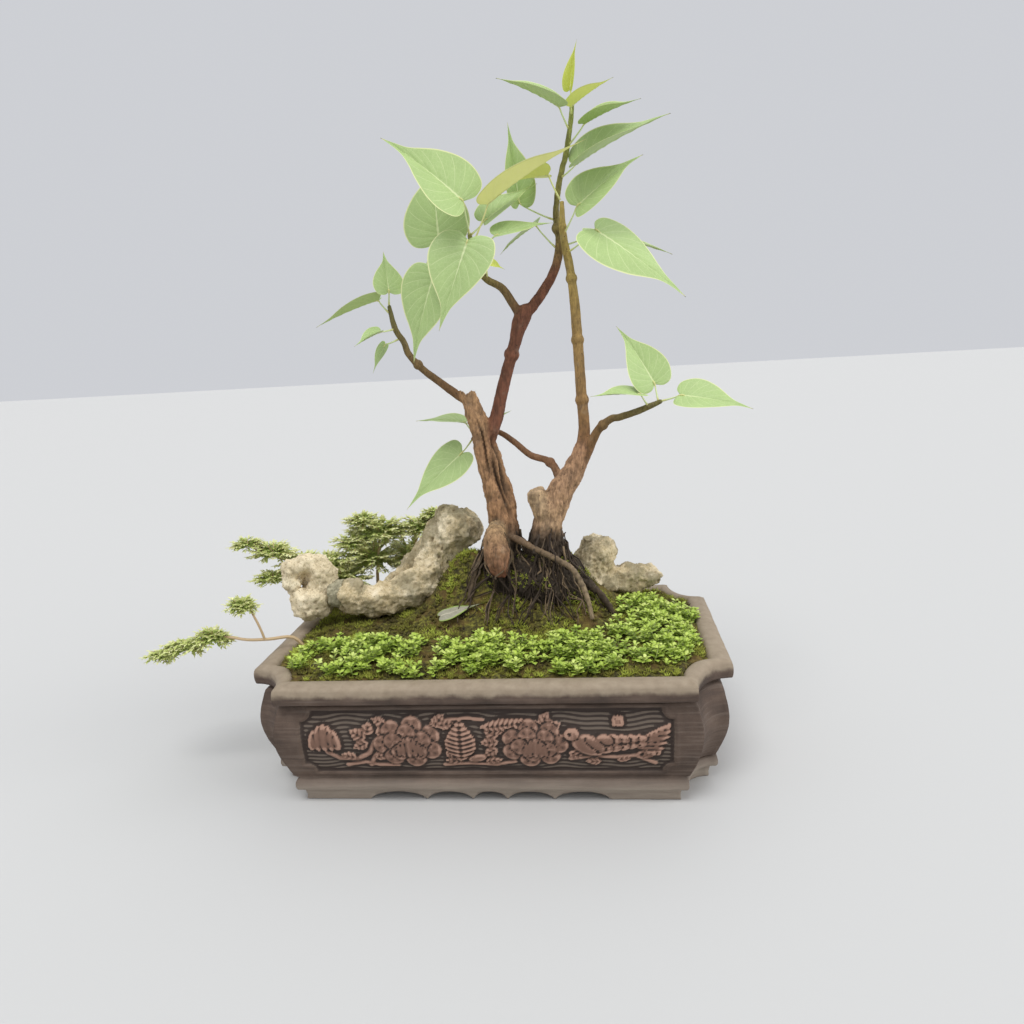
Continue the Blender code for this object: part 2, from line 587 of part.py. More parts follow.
def limb_mesh(name, grow=0.0):
    path = limb_path(name)
    thick = max(row[3] for row in path)
    sides = 12 if thick > 12 * MM else 8
    roughness = 0 if name in SMOOTH_LIMBS else 0.12 * thick
    return tube_mesh(name, path, sides, roughness, grow)


def add_tree(parts, cutters, parent):
    tree = add_object("tree", limb_mesh("left_trunk"), parts, parent)
    for name in LIMBS:
        if name != "left_trunk":
            limb = add_object("limb_" + name, limb_mesh(name), cutters, parent)
            combine(tree, limb, "UNION")
    return tree


def place_on(name, share):
    """Place, direction and radius at a share of a limb's length."""
    path = limb_path(name)
    lengths = [(b - a).xyz.length for a, b in zip(path, path[1:])]
    left = share * sum(lengths)
    for start, end, length in zip(path, path[1:], lengths):
        if left <= length + 1e-9:
            break
        left -= length
    here = start.lerp(end, min(left / length, 1))
    return here.xyz, (end - start).xyz.normalized(), here[3]


def heading(turn, rise):
    flat = math.cos(math.radians(rise))
    return Vector((flat * math.cos(math.radians(turn)), flat * math.sin(math.radians(turn)),
                   math.sin(math.radians(rise))))


def leaf_edge(share):
    """A point of the blade's edge, on a smooth curve through its outline."""
    rows = [(x, y, 0, 0) for x, y in LEAF_EDGE]
    path = smooth_path(rows, 8)
    at = share * (len(path) - 1)
    low = min(int(at), len(path) - 2)
    return path[low].lerp(path[low + 1], at - low)


def blade_mesh(name, length, width, fold):
    """An open blade along +X with its face up, its rows along the side veins."""
    mesh = bpy.data.meshes.new(name)
    bm = bmesh.new()
    rows = []
    for k in range(8):
        share = k / 7
        edge = leaf_edge(share)
        along = share ** 2.6
        row = []
        for across in (-1, 0, 1):
            x = (along + (edge.y - along) * abs(across)) * length
            y = edge.x * across * width / 2
            lift = abs(y) * math.sin(math.radians(fold))
            droop = -0.12 * length * (x / length) ** 2
            row.append(bm.verts.new((x, -y * math.cos(math.radians(fold)), lift + droop)))
        rows.append(row)
    for low, high in zip(rows, rows[1:]):
        for a, b, c, d in zip(low, low[1:], high[1:], high):
            bm.faces.new((a, b, c, d))
    bmesh.ops.remove_doubles(bm, verts=bm.verts, dist=1e-5)
    bmesh.ops.recalc_face_normals(bm, faces=bm.faces)
    bm.to_mesh(mesh)
    bm.free()
    return mesh


def add_leaf(name, row, parts, cutters, parent):
    limb, share, stalk, blade, width, roll, fold = row
    here, along, radius = place_on(limb, share)
    out = heading(stalk[0], stalk[1])
    lean = math.acos(max(-1, min(1, out.dot(along))))
    slope = max(math.sin(lean), 0.35)
    start = (radius + 2 * GAP + PETIOLE_RADIUS * abs(math.cos(lean))) / slope
    if share == 1:
        start = min(start, 3 * GAP + radius)
    base = here + out * (start + stalk[2] * MM * LEAF_SCALE)
    length = blade[2] * MM * LEAF_SCALE
    turn = (Matrix.Translation(base) @ Matrix.Rotation(math.radians(blade[0]), 4, "Z")
            @ Matrix.Rotation(math.radians(-blade[1]), 4, "Y")
            @ Matrix.Rotation(math.radians(roll), 4, "X"))
    mesh = blade_mesh(name, length, width * MM * LEAF_SCALE, fold)
    mesh.transform(turn)
    leaf = add_object(name, mesh, parts, parent)
    shell = leaf.modifiers.new("thickness", "SOLIDIFY")
    shell.thickness = LEAF_THICKNESS
    shell.offset = 0
    ahead = turn.to_3x3() @ Vector((1, 0, 0))
    side = PETIOLE_RADIUS
    rows = [(*(here + out * start), side), (*(base - out * 2 * MM), side),
            (*(base + ahead * 1.2 * MM), 0.8 * side)]
    petiole = add_object(name + "_stalk", tube_mesh(name, smooth_path(rows, 1), 6), cutters, parent)
    combine(leaf, petiole, "UNION")
    return leaf


def add_fallen_leaf(parts, parent):
    x, y = in_pot(*FALLEN_LEAF[:2])
    x -= ROOT_REACH * (thickening() - 1)
    y -= ROOT_REACH * (thickening() - 1)
    low, high = ground(x, y), ground(x + 0.022, y + 0.006)
    mesh = blade_mesh("fallen_leaf", 0.026, 0.010, -8)
    tilt = math.degrees(math.atan2(high - low, 0.0228))
    mesh.transform(Matrix.Translation((x, y, low + 0.0048))
                   @ Matrix.Rotation(math.radians(FALLEN_LEAF[2]), 4, "Z")
                   @ Matrix.Rotation(math.radians(-tilt), 4, "Y")
                   @ Matrix.Rotation(math.radians(28), 4, "X"))
    leaf = add_object("fallen_leaf", mesh, parts, parent)
    shell = leaf.modifiers.new("thickness", "SOLIDIFY")
    shell.thickness = LEAF_THICKNESS
    return leaf


def bed_in(beds, cutters, parent):
    """Cut the soil and the moss around what stands in them."""
    tools = []
    for name in BURIED_LIMBS:
        tools.append(add_object("cut_" + name, limb_mesh(name, GAP), cutters, parent))
    for name in STONES:
        tools += stone_limbs(name, cutters, parent, GAP)
    for name, (stems, _) in SHRUB.items():
        path = shrub_path(name, stems[0])
        for row in path:
            row[3] += GAP
        tools.append(add_object("cut_" + name, tube_mesh(name, path, 8), cutters, parent))
    for bed in beds:
        for tool in tools:
            combine(bed, tool, "DIFFERENCE")


def finish(thing, material, smooth=True):
    thing.data.materials.clear()
    thing.data.materials.append(material)
    for face in thing.data.polygons:
        face.use_smooth = smooth


def build():
    for thing in list(bpy.data.objects):
        bpy.data.objects.remove(thing)
    parts = bpy.data.collections.new("bonsai_tree_in_pot")
    cutters = bpy.data.collections.new("cutters")
    for collection in (parts, cutters):
        bpy.context.scene.collection.children.link(collection)
    origin = add_object("pot_centre", None, parts)
    origin.location = (-BOX_CENTRE[0], -BOX_CENTRE[1], 0)
    clay = add_material("clay", (0.13, 0.105, 0.095), 0.75)
    earth = add_material("earth", (0.05, 0.035, 0.022), 0.95)
    moss = add_material("moss", (0.10, 0.12, 0.03), 0.95)
    limestone = add_material("limestone", (0.55, 0.48, 0.36), 0.9)
    cement = add_material("cement", (0.36, 0.36, 0.31), 0.9)
    bark = add_material("bark", (0.30, 0.15, 0.07), 0.85)
    leaf = add_material("leaf", (0.36, 0.50, 0.22), 0.45)
    dry_leaf = add_material("dry_leaf", (0.33, 0.30, 0.22), 0.7)
    shrub = add_material("shrub", (0.33, 0.45, 0.08), 0.55)
    cover = add_material("cover", (0.25, 0.50, 0.07), 0.5)
    finish(add_pot(parts, cutters, origin), clay)
    soil = add_soil(parts, origin)
    carpet = add_moss(parts, origin)
    bed_in((soil, carpet), cutters, origin)
    finish(soil, earth)
    finish(carpet, moss)
    for stone in add_stones(parts, cutters, origin):
        finish(stone, limestone)
    finish(add_joint(parts, cutters, origin), cement)
    for patch in add_cover(parts, origin):
        finish(patch, cover)
    for branch in add_shrub(parts, cutters, origin):
        finish(branch, shrub)
    finish(add_tree(parts, cutters, origin), bark)
    for name, row in LEAVES.items():
        finish(add_leaf(name, row, parts, cutters, origin), leaf)
    finish(add_fallen_leaf(parts, origin), dry_leaf)


build()
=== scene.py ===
# A twin-trunked sacred fig bonsai on a stone-set mound, in a rectangular clay pot.
# Shapes are worked out in millimetres round the middle of the pot's base, then moved into the frame.
import math
import random

import bmesh
import bpy
import numpy as np
from mathutils import Matrix, Vector, noise
from mathutils.bvhtree import BVHTree


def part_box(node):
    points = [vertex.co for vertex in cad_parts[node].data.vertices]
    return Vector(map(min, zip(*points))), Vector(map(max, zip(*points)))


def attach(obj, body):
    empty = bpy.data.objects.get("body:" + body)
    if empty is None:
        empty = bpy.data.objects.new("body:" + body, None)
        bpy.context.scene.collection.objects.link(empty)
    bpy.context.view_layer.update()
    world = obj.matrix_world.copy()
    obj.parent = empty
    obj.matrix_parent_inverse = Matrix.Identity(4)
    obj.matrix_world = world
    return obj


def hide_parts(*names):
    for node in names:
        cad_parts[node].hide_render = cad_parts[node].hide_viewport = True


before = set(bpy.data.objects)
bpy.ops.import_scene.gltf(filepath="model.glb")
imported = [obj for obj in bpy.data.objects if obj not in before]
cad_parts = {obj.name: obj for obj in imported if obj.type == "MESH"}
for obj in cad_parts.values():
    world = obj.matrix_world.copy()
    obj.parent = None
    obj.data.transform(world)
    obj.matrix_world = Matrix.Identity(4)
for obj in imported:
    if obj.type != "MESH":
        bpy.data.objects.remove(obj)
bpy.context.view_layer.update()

mm = 0.001
potLow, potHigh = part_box("pot")
potMiddle = (potLow + potHigh) / 2
potSize = (potHigh - potLow) / mm
toWorld = Matrix.Translation((potMiddle.x, potMiddle.y, potLow.z)) @ Matrix.Scale(mm, 4)
print("frame loaded, pot", [round(side, 1) for side in potSize])


class Number:
    # a socket that takes part in sums
    def __init__(self, finish, socket):
        self.finish = finish
        self.socket = socket

    def __add__(self, other):
        return self.finish.sum("ADD", self, other)

    def __sub__(self, other):
        return self.finish.sum("SUBTRACT", self, other)

    def __rsub__(self, other):
        return self.finish.sum("SUBTRACT", other, self)

    def __mul__(self, other):
        return self.finish.sum("MULTIPLY", self, other)

    def __truediv__(self, other):
        return self.finish.sum("DIVIDE", self, other)

    def __pow__(self, other):
        return self.finish.sum("POWER", self, other)

    __radd__ = __add__
    __rmul__ = __mul__


class Finish:
    # a material and the nodes that paint it
    def __init__(self, name, roughness=0.8):
        self.material = bpy.data.materials.new(name)
        self.material.use_nodes = True
        self.tree = self.material.node_tree
        self.shader = self.tree.nodes["Principled BSDF"]
        self.shader.inputs["Roughness"].default_value = roughness
        self.coordinates = self.node("ShaderNodeTexCoord").node.outputs["Object"]

    def node(self, kind, settings=None, inputs=None, output=0):
        node = self.tree.nodes.new(kind)
        for key, value in (settings or {}).items():
            if key == "stops":
                self.setStops(node.color_ramp, value)
            else:
                setattr(node, key, value)
        for key, value in (inputs or {}).items():
            self.feed(node.inputs[key], value)
        made = Number(self, node.outputs[output])
        made.node = node
        return made

    def setStops(self, ramp, stops):
        while len(ramp.elements) < len(stops):
            ramp.elements.new(1)
        for element, (place, colour) in zip(ramp.elements, stops):
            element.position = place
            element.color = (*colour, 1)

    def feed(self, socket, value):
        if isinstance(value, Number):
            value = value.socket
        if isinstance(value, bpy.types.NodeSocket):
            self.tree.links.new(value, socket)
        elif isinstance(value, tuple) and len(socket.default_value) == 4:
            socket.default_value = (*value, 1)
        else:
            socket.default_value = value

    def sum(self, operation, first, second):
        return self.node("ShaderNodeMath", {"operation": operation}, {0: first, 1: second})

    def clear(self, value, low, high):
        # 0 below low, 1 above high
        return self.node("ShaderNodeMapRange", {"interpolation_type": "SMOOTHSTEP"},
                         {"Value": value, "From Min": low, "From Max": high})

    def stretched(self, scale):
        # Object coordinates in millimetres, squeezed along each axis
        return self.node("ShaderNodeMapping", {}, {"Vector": self.coordinates,
                                                   "Scale": tuple(1000 / step for step in scale)})

    def noise(self, size, detail=4, rough=0.55, output=0):
        # size is a blob's width in millimetres, or one width for each axis
        size = size if isinstance(size, tuple) else (size, size, size)
        return self.node("ShaderNodeTexNoise", {}, {"Vector": self.stretched(size), "Scale": 1.0,
                                                    "Detail": detail, "Roughness": rough}, output)

    def cells(self, size, feature="F1"):
        output = 0
        return self.node("ShaderNodeTexVoronoi", {"feature": feature},
                         {"Vector": self.stretched((size, size, size)), "Scale": 1.0}, output)

    def attribute(self, name, output="Fac"):
        return self.node("ShaderNodeAttribute", {"attribute_name": name}, {}, output)

    def mix(self, share, first, second, blend="MIX"):
        node = self.tree.nodes.new("ShaderNodeMix")
        node.data_type = "RGBA"
        node.blend_type = blend
        self.feed(node.inputs[0], share)
        for socket, value in ((node.inputs[6], first), (node.inputs[7], second)):
            self.feed(socket, value)
        return Number(self, node.outputs[2])

    def ramp(self, value, stops):
        return self.node("ShaderNodeValToRGB", {"stops": stops}, {"Fac": value})

    def height(self):
        # millimetres above the surface that the pot stands on
        return self.node("ShaderNodeSeparateXYZ", {}, {0: self.coordinates}, 2) * 1000

    def paint(self, colour=None, roughness=None, bump=None, depth=0.3):
        # depth is the bump's height in millimetres
        if colour is not None:
            self.feed(self.shader.inputs["Base Color"], colour)
        if roughness is not None:
            self.feed(self.shader.inputs["Roughness"], roughness)
        if bump is not None:
            raised = self.node("ShaderNodeBump", {}, {"Height": bump, "Strength": 1.0,
                                                      "Distance": depth * mm})
            self.feed(self.shader.inputs["Normal"], raised)
        return self.material


def smoothPath(points, steps):
    # points and radii read from a smooth curve through the given ones
    rows = [Vector(point) for point in points]
    path = []
    for i in range(len(rows) - 1):
        before, start, end = rows[max(i - 1, 0)], rows[i], rows[i + 1]
        after = rows[min(i + 2, len(rows) - 1)]
        for k in range(steps):
            t = k / steps
            path.append(0.5 * (2 * start + (end - before) * t
                               + (2 * before - 5 * start + 4 * end - after) * t ** 2
                               + (3 * start - before - 3 * end + after) * t ** 3))
    path.append(rows[-1])
    return path


def gridFaces(bm, places):
    # a create_grid sheet whose points are moved to places[row][column]
    rows, columns = len(places) - 1, len(places[0]) - 1
    made = bmesh.ops.create_grid(bm, x_segments=columns, y_segments=rows, size=1)["verts"]
    for vertex in made:
        column = round((vertex.co.x + 1) / 2 * columns)
        row = round((vertex.co.y + 1) / 2 * rows)
        vertex.co = places[row][column]
    return made


def sealed(bm, verts, gap=1e-4):
    # the seam and poles of a new sheet merged, its ends closed and its faces turned outwards
    bmesh.ops.remove_doubles(bm, verts=verts, dist=gap)
    edges = [edge for edge in bm.edges if edge.is_boundary]
    bmesh.ops.holes_fill(bm, edges=edges, sides=0)
    bmesh.ops.recalc_face_normals(bm, faces=bm.faces)


def tubePlaces(path, sides):
    # rings round a path of x, y, z and radius
    points = [Vector(row[:3]) for row in path]
    side = None
    places = []
    for i, point in enumerate(points):
        ahead = (points[min(i + 1, len(points) - 1)] - points[max(i - 1, 0)]).normalized()
        side = ahead.orthogonal() if side is None else side - ahead * side.dot(ahead)
        side.normalize()
        across = ahead.cross(side)
        ring = []
        for k in range(sides + 1):
            turn = 2 * math.pi * (k % sides) / sides
            ring.append(point + (side * math.cos(turn) + across * math.sin(turn)) * path[i][3])
        places.append(ring)
    return places


def addTube(bm, path, sides):
    piece = bmesh.new()
    sealed(piece, gridFaces(piece, tubePlaces(path, sides)))
    mesh = bpy.data.meshes.new("tube")
    piece.to_mesh(mesh)
    piece.free()
    bm.from_mesh(mesh)
    bpy.data.meshes.remove(mesh)


def meshFrom(bm, name):
    mesh = bpy.data.meshes.new(name)
    bm.to_mesh(mesh)
    bm.free()
    return mesh


def fused(name, bm, voxel):
    # one skin round all the solids in bm
    thing = bpy.data.objects.new(name, meshFrom(bm, name))
    bpy.context.scene.collection.objects.link(thing)
    skin = thing.modifiers.new("skin", "REMESH")
    skin.mode = "VOXEL"
    skin.voxel_size = voxel
    shown = thing.evaluated_get(bpy.context.evaluated_depsgraph_get())
    mesh = bpy.data.meshes.new_from_object(shown)
    bpy.data.objects.remove(thing)
    return mesh


def meshArrays(mesh):
    points = np.empty(len(mesh.vertices) * 3)
    normals = np.empty(len(mesh.vertices) * 3)
    mesh.vertices.foreach_get("co", points)
    mesh.vertex_normals.foreach_get("vector", normals)
    return points.reshape(-1, 3), normals.reshape(-1, 3)


def setPoints(mesh, points):
    mesh.vertices.foreach_set("co", np.asarray(points, float).ravel())
    mesh.update()


def noiseField(points, size, octaves=3):
    # smooth noise between about -1 and 1 at each point; size in millimetres, or one for each axis
    scaled = points / np.array(size)
    return np.array([noise.fractal(Vector(point), 0.6, 2.1, octaves) for point in scaled])


def pitField(points, size):
    # distance to the nearest cell's middle, 0 to about 1
    return np.array([noise.voronoi(Vector(point / size))[0][0] for point in points])


def setValues(mesh, name, values):
    layer = mesh.attributes.new(name, "FLOAT", "POINT")
    layer.data.foreach_set("value", np.asarray(values, np.float32).ravel())


def setColours(mesh, name, colours):
    layer = mesh.attributes.new(name, "FLOAT_COLOR", "POINT")
    full = np.ones((len(colours), 4), np.float32)
    full[:, :3] = colours
    layer.data.foreach_set("color", full.ravel())


def copies(name, template, places, tints):
    # one mesh that holds a copy of the template at every place, each with its own tint
    points, _ = meshArrays(template)
    count = len(points)
    starts = np.empty(len(template.polygons), np.int32)
    sizes = np.empty(len(template.polygons), np.int32)
    corners = np.empty(len(template.loops), np.int32)
    template.polygons.foreach_get("loop_start", starts)
    template.polygons.foreach_get("loop_total", sizes)
    template.loops.foreach_get("vertex_index", corners)
    turns = np.array([[list(row) for row in place] for place in places])
    moved = np.einsum("nij,kj->nki", turns[:, :3, :3], points) + turns[:, None, :3, 3]
    steps = np.arange(len(places))[:, None]
    mesh = bpy.data.meshes.new(name)
    mesh.vertices.add(count * len(places))
    mesh.vertices.foreach_set("co", moved.ravel())
    mesh.loops.add(len(corners) * len(places))
    mesh.loops.foreach_set("vertex_index", (corners + count * steps).astype(np.int32).ravel())
    mesh.polygons.add(len(starts) * len(places))
    mesh.polygons.foreach_set("loop_start", (starts + len(corners) * steps).astype(np.int32).ravel())
    mesh.polygons.foreach_set("loop_total", np.tile(sizes, len(places)))
    mesh.update(calc_edges=True)
    setValues(mesh, "tint", np.repeat(tints, count))
    return mesh


def joined(name, meshes):
    # several meshes in one; attributes of the same name carry over
    things = [bpy.data.objects.new(name, mesh) for mesh in meshes]
    for thing in things:
        bpy.context.scene.collection.objects.link(thing)
    with bpy.context.temp_override(active_object=things[0], selected_editable_objects=things):
        bpy.ops.object.join()
    mesh = things[0].data
    bpy.data.objects.remove(things[0])
    return mesh


def addPiece(name, mesh, material, nodes, smooth=True):
    mesh.transform(toWorld)
    mesh.materials.clear()
    mesh.materials.append(material)
    mesh.polygons.foreach_set("use_smooth", [smooth] * len(mesh.polygons))
    mesh.name = name
    piece = bpy.data.objects.new(name, mesh)
    bpy.context.scene.collection.objects.link(piece)
    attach(piece, "root")
    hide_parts(*nodes)
    return piece


pot = {
    "foot": 7, "bead": 8, "lip": 11, "lipWidth": 12, "floor": 8, "footWidth": 9, "footInset": 12.5,
    "belly": 3, "waist": 10.2, "neck": 7.2, "widest": 0.58, "taper": 8, "notch": (22, 30),
    "innerNotch": 0.72, "arch": 4.7, "longSteps": 290, "shortSteps": 96, "cornerSteps": 12,
    "bellyRings": 56, "panelMargin": 34, "panelDepth": 1.6, "panelCorner": 6, "panelInset": 4,
}


def potOutline(inset, notch):
    # the rectangle with hollow corners, the same points round every ring
    half = np.array([potSize.x / 2 - inset, potSize.y / 2 - inset])
    deep = np.array(pot["notch"]) * notch
    turns = np.linspace(0, math.pi / 2, pot["cornerSteps"] + 1)
    arc = half - deep * np.stack([np.cos(turns), np.sin(turns)], 1)
    corners = [arc[::-1] * (1, 1), arc * (-1, 1), arc[::-1] * (-1, -1), arc * (1, -1)]
    line = []
    for i, corner in enumerate(corners):
        steps = pot["longSteps"] if i % 2 == 0 else pot["shortSteps"]
        shares = np.linspace(0, 1, steps + 1)[1:-1, None]
        line += [corner, corner[-1] + (corners[(i + 1) % 4][0] - corner[-1]) * shares]
    return np.concatenate(line)


def bellyInset(height):
    low, high = pot["foot"] + pot["bead"], potSize.z - pot["lip"]
    share = (height - low) / (high - low)
    below = share < pot["widest"]
    fall = (pot["widest"] - share) / pot["widest"] if below else (share - pot["widest"]) / (1 - pot["widest"])
    end = pot["waist"] if below else pot["neck"]
    return pot["belly"] + (end - pot["belly"]) * fall ** 1.7


def potProfile():
    # height, inset and notch of every ring, from inside the foot up and over the lip to the floor
    foot, bead, top = pot["foot"], pot["foot"] + pot["bead"], potSize.z
    neck, inside = top - pot["lip"], pot["footInset"] + pot["footWidth"]
    rows = [(foot - 1, inside + 1, 0.55), (0.6, inside, 0.55), (0, inside - 0.6, 0.57),
            (0, pot["footInset"] + 0.8, 0.8), (0.8, pot["footInset"], 0.82),
            (3, pot["footInset"] + 0.2, 0.83),
            (foot - 0.4, pot["footInset"] - 0.7, 0.84), (foot, pot["footInset"] - 1, 0.84)]
    for k in range(11):
        turn = math.pi * k / 10
        rows.append((foot + 0.5 + (pot["bead"] - 1) * (1 - math.cos(turn)) / 2,
                     pot["waist"] + 0.2 - 2.4 * math.sin(turn) ** 0.7, 0.84))
    for k in range(pot["bellyRings"] + 1):
        height = bead + 1 + (neck - bead - 3) * k / pot["bellyRings"]
        rows.append((height, bellyInset(height), 0.74))
    rows += [(neck - 1.2, pot["neck"] + 1, 0.76), (neck - 0.3, pot["neck"] + 0.9, 0.78),
             (neck, pot["neck"], 0.8), (neck + 0.2, 3.4, 0.94)]
    for k in range(9):  # the lip's rounded outer edge
        turn = math.pi * k / 8
        rows.append((neck + 0.5 + (pot["lip"] - 1.6) * (1 - math.cos(turn)) / 2,
                     0.1 + 1.9 * (1 - math.sin(turn) ** 0.6), 1 - 0.02 * (1 - math.sin(turn))))
    rows += [(top - 0.4, 3.4, 0.95), (top, 5.0, 0.92), (top, pot["lipWidth"] - 3, 0.8),
             (top - 0.3, pot["lipWidth"] - 1.4, 0.75), (top - 1.2, pot["lipWidth"] - 0.4, 0.73)]
    floor = foot + pot["floor"]
    for height in (top - 2.4, top - 10, (top + floor) / 2, floor):
        share = (top - height) / (top - floor)
        rows.append((height, pot["lipWidth"] + pot["taper"] * share, pot["innerNotch"]))
    return rows


def archLift(place, span, ends):
    # how far the foot's lower edge is cut away along one side
    lift = np.zeros_like(place)
    for low, high in zip(ends, ends[1:]):
        middle, half = ((low + high) / 2 - 0.5) * span, (high - low) / 2 * span - 0.4
        share = np.clip(np.abs(place - middle) / half, 0, 1)
        lift = np.maximum(lift, pot["arch"] * np.sqrt(1 - share ** 2))
    return lift


def petal(x, z, middle, angle, length, width, base, rise):
    # a rounded shape, highest along its middle
    turn = math.radians(angle)
    a = (x - middle[0]) * math.cos(turn) + (z - middle[1]) * math.sin(turn)
    b = (z - middle[1]) * math.cos(turn) - (x - middle[0]) * math.sin(turn)
    q = (a / length) ** 2 + (b / width) ** 2
    rim = 0.16 * np.exp(-((q - 0.66) / 0.2) ** 2)
    return np.where(q < 1, base + rise * np.sqrt(np.clip(1 - q, 0, 1)) + rim, 0)


def leafShape(x, z, base, angle, length, width):
    # a pointed leaf with a groove along its middle and slanted veins
    turn = math.radians(angle)
    a = ((x - base[0]) * math.cos(turn) + (z - base[1]) * math.sin(turn)) / length
    b = ((z - base[1]) * math.cos(turn) - (x - base[0]) * math.sin(turn)) / width
    reach = np.sin(np.pi * np.clip(a, 0, 1) ** 0.8)
    inside = (a > 0) & (a < 1) & (np.abs(b) < reach)
    veins = 0.17 * np.sin(2 * np.pi * (a * length / 2.6 - np.abs(b) * 0.9))
    groove = 0.3 * np.exp(-(b / 0.12) ** 2)
    return np.where(inside, 0.75 - 0.35 * (np.abs(b) / np.maximum(reach, 0.05)) ** 2 + veins - groove, 0)


def twigShape(x, z, points, radius):
    high = np.zeros_like(x)
    for (ax, az), (bx, bz) in zip(points, points[1:]):
        share = np.clip(((x - ax) * (bx - ax) + (z - az) * (bz - az)) / ((bx - ax) ** 2 + (bz - az) ** 2), 0,
                        1)
        away = np.hypot(x - ax - share * (bx - ax), z - az - share * (bz - az))
        high = np.maximum(high, np.where(away < radius,
                                         0.6 * np.sqrt(np.clip(1 - (away / radius) ** 2, 0, 1)), 0))
    return high


def laid(high, shape):
    # a shape laid over what is already carved
    return np.where(shape > 0, shape, high)


def cup(x, z, middle, length, width, count, base):
    # closed upright petals, the middle one foremost
    high = np.zeros_like(x)
    for off in sorted((k - (count - 1) / 2 for k in range(count)), key=abs, reverse=True):
        shape = petal(x, z, (middle[0] + 1.05 * width * off, middle[1] - 0.04 * length * off ** 2),
                      90 + 7 * off,
                      length * (1 - 0.05 * off ** 2), width, base - 0.1 * abs(off), 0.7)
        high = laid(high, shape)
    return high


def flower(x, z, middle, size, turn):
    # a peony: two rounds of ruffled petals behind an upright cup
    high = np.zeros_like(x)
    for count, away, length, width, base in ((7, 0.74, 0.31, 0.33, 0.10), (5, 0.44, 0.31, 0.30, 0.30)):
        for k in range(count):
            angle = turn + 360 * k / count + 24 * away
            place = (middle[0] + size * away * math.cos(math.radians(angle)),
                     middle[1] + 0.74 * size * away * math.sin(math.radians(angle)))
            shape = petal(x, z, place, angle, size * length, size * width, base, 0.7)
            ruffle = 0.10 * np.cos(4 * np.arctan2(z - place[1], x - place[0]))
            high = laid(high, np.where(shape > 0, shape + ruffle, 0))
    return laid(high, cup(x, z, (middle[0] + 0.5, middle[1] - 0.10 * size), 0.38 * size, 0.125 * size, 5,
                          0.55))


def bird(x, z, middle):
    # a perched bird looking left: a long tail, breast, rows of feathers, a wing, head and beak
    cx, cz = middle
    high = np.zeros_like(x)
    for k in (0, 4, 1, 3, 2):
        place = (cx + 31 + 1.5 * k, cz + 2.6 + 1.9 * (k - 2))
        high = laid(high, petal(x, z, place, 10 + 9 * (k - 2), 11, 1.9, 0.3, 0.5))
    high = laid(high, petal(x, z, (cx + 3, cz - 0.5), -20, 10, 6.2, 0.35, 1.0))
    for k in reversed(range(5)):
        for row in range(2):
            place = (cx + 11 + 4.6 * k, cz - 2.4 + 5.2 * row + 0.7 * k - 0.5 * k * row)
            high = laid(high, petal(x, z, place, 10 - 16 * row, 5.2 - 0.3 * k, 3.3 - 0.25 * k, 0.3, 0.85))
    high = laid(high, petal(x, z, (cx + 6, cz + 0.5), -36, 6.6, 2.9, 0.6, 0.7))
    high = laid(high, petal(x, z, (cx - 10.4, cz + 5.6), 8, 2.4, 1.1, 0.3, 0.5))
    high = laid(high, petal(x, z, (cx - 6.2, cz + 6), 0, 4.2, 3.6, 0.5, 0.8))
    return laid(high, petal(x, z, (cx - 7.4, cz + 6.6), 0, 0.9, 0.8, 0.4, 0.3))


# leaves of the long panels: base, angle, length and half width
longLeaves = (((-64, 3), 150, 10, 4.2), ((-63, 5), 80, 8, 3.8), ((-63, 1), 205, 9, 3.6),
              ((-58, 6), 20, 8, 3.4),
              ((-26, 9), 55, 9, 3.8), ((-24, 10), 10, 9, 3.4), ((-25, 9), 100, 6, 3),
              ((-21, -5), -25, 9, 3.6),
              ((8, 4), 150, 9, 3.8), ((8, 1), 185, 10, 3.6), ((9, 5), 95, 7, 3.2), ((7, -3), 215, 9, 3.4),
              ((31, 9), 65, 9, 3.6), ((33, 8), 20, 9, 3.4), ((45, -6), -20, 9, 3.2), ((44, 3), 25, 6, 3),
              ((-60, -9), 15, 9, 3.2), ((-70, -9), 165, 9, 3), ((-52, 11), 160, 9, 3), ((84, -9), 40, 9, 3.0),
              ((62, -12), 178, 9, 2.6), ((70, -11), 12, 8, 2.4), ((0, -12), 8, 10, 2.8),
              ((-12, -12), 172, 10, 2.6))
# and its stems: the points along each, and its radius
longStems = (([(-86, -5), (-80, -9), (-70, -10), (-63, -6), (-59, 1)], 1.8),
             ([(-76, -14), (-66, -12), (-58, -14), (-48, -14)], 1.6),
             ([(-63, -14), (-60, -8), (-56, -4)], 1.7),
             ([(-22, -14), (-8, -13), (6, -14), (16, -12)], 1.5),
             ([(46, -10), (58, -8), (70, -9), (80, -8), (90, -13)], 1.6),
             ([(80, -8), (84, -5), (88, -4)], 1.2), ([(-20, 13), (-8, 14), (0, 13)], 1.2))


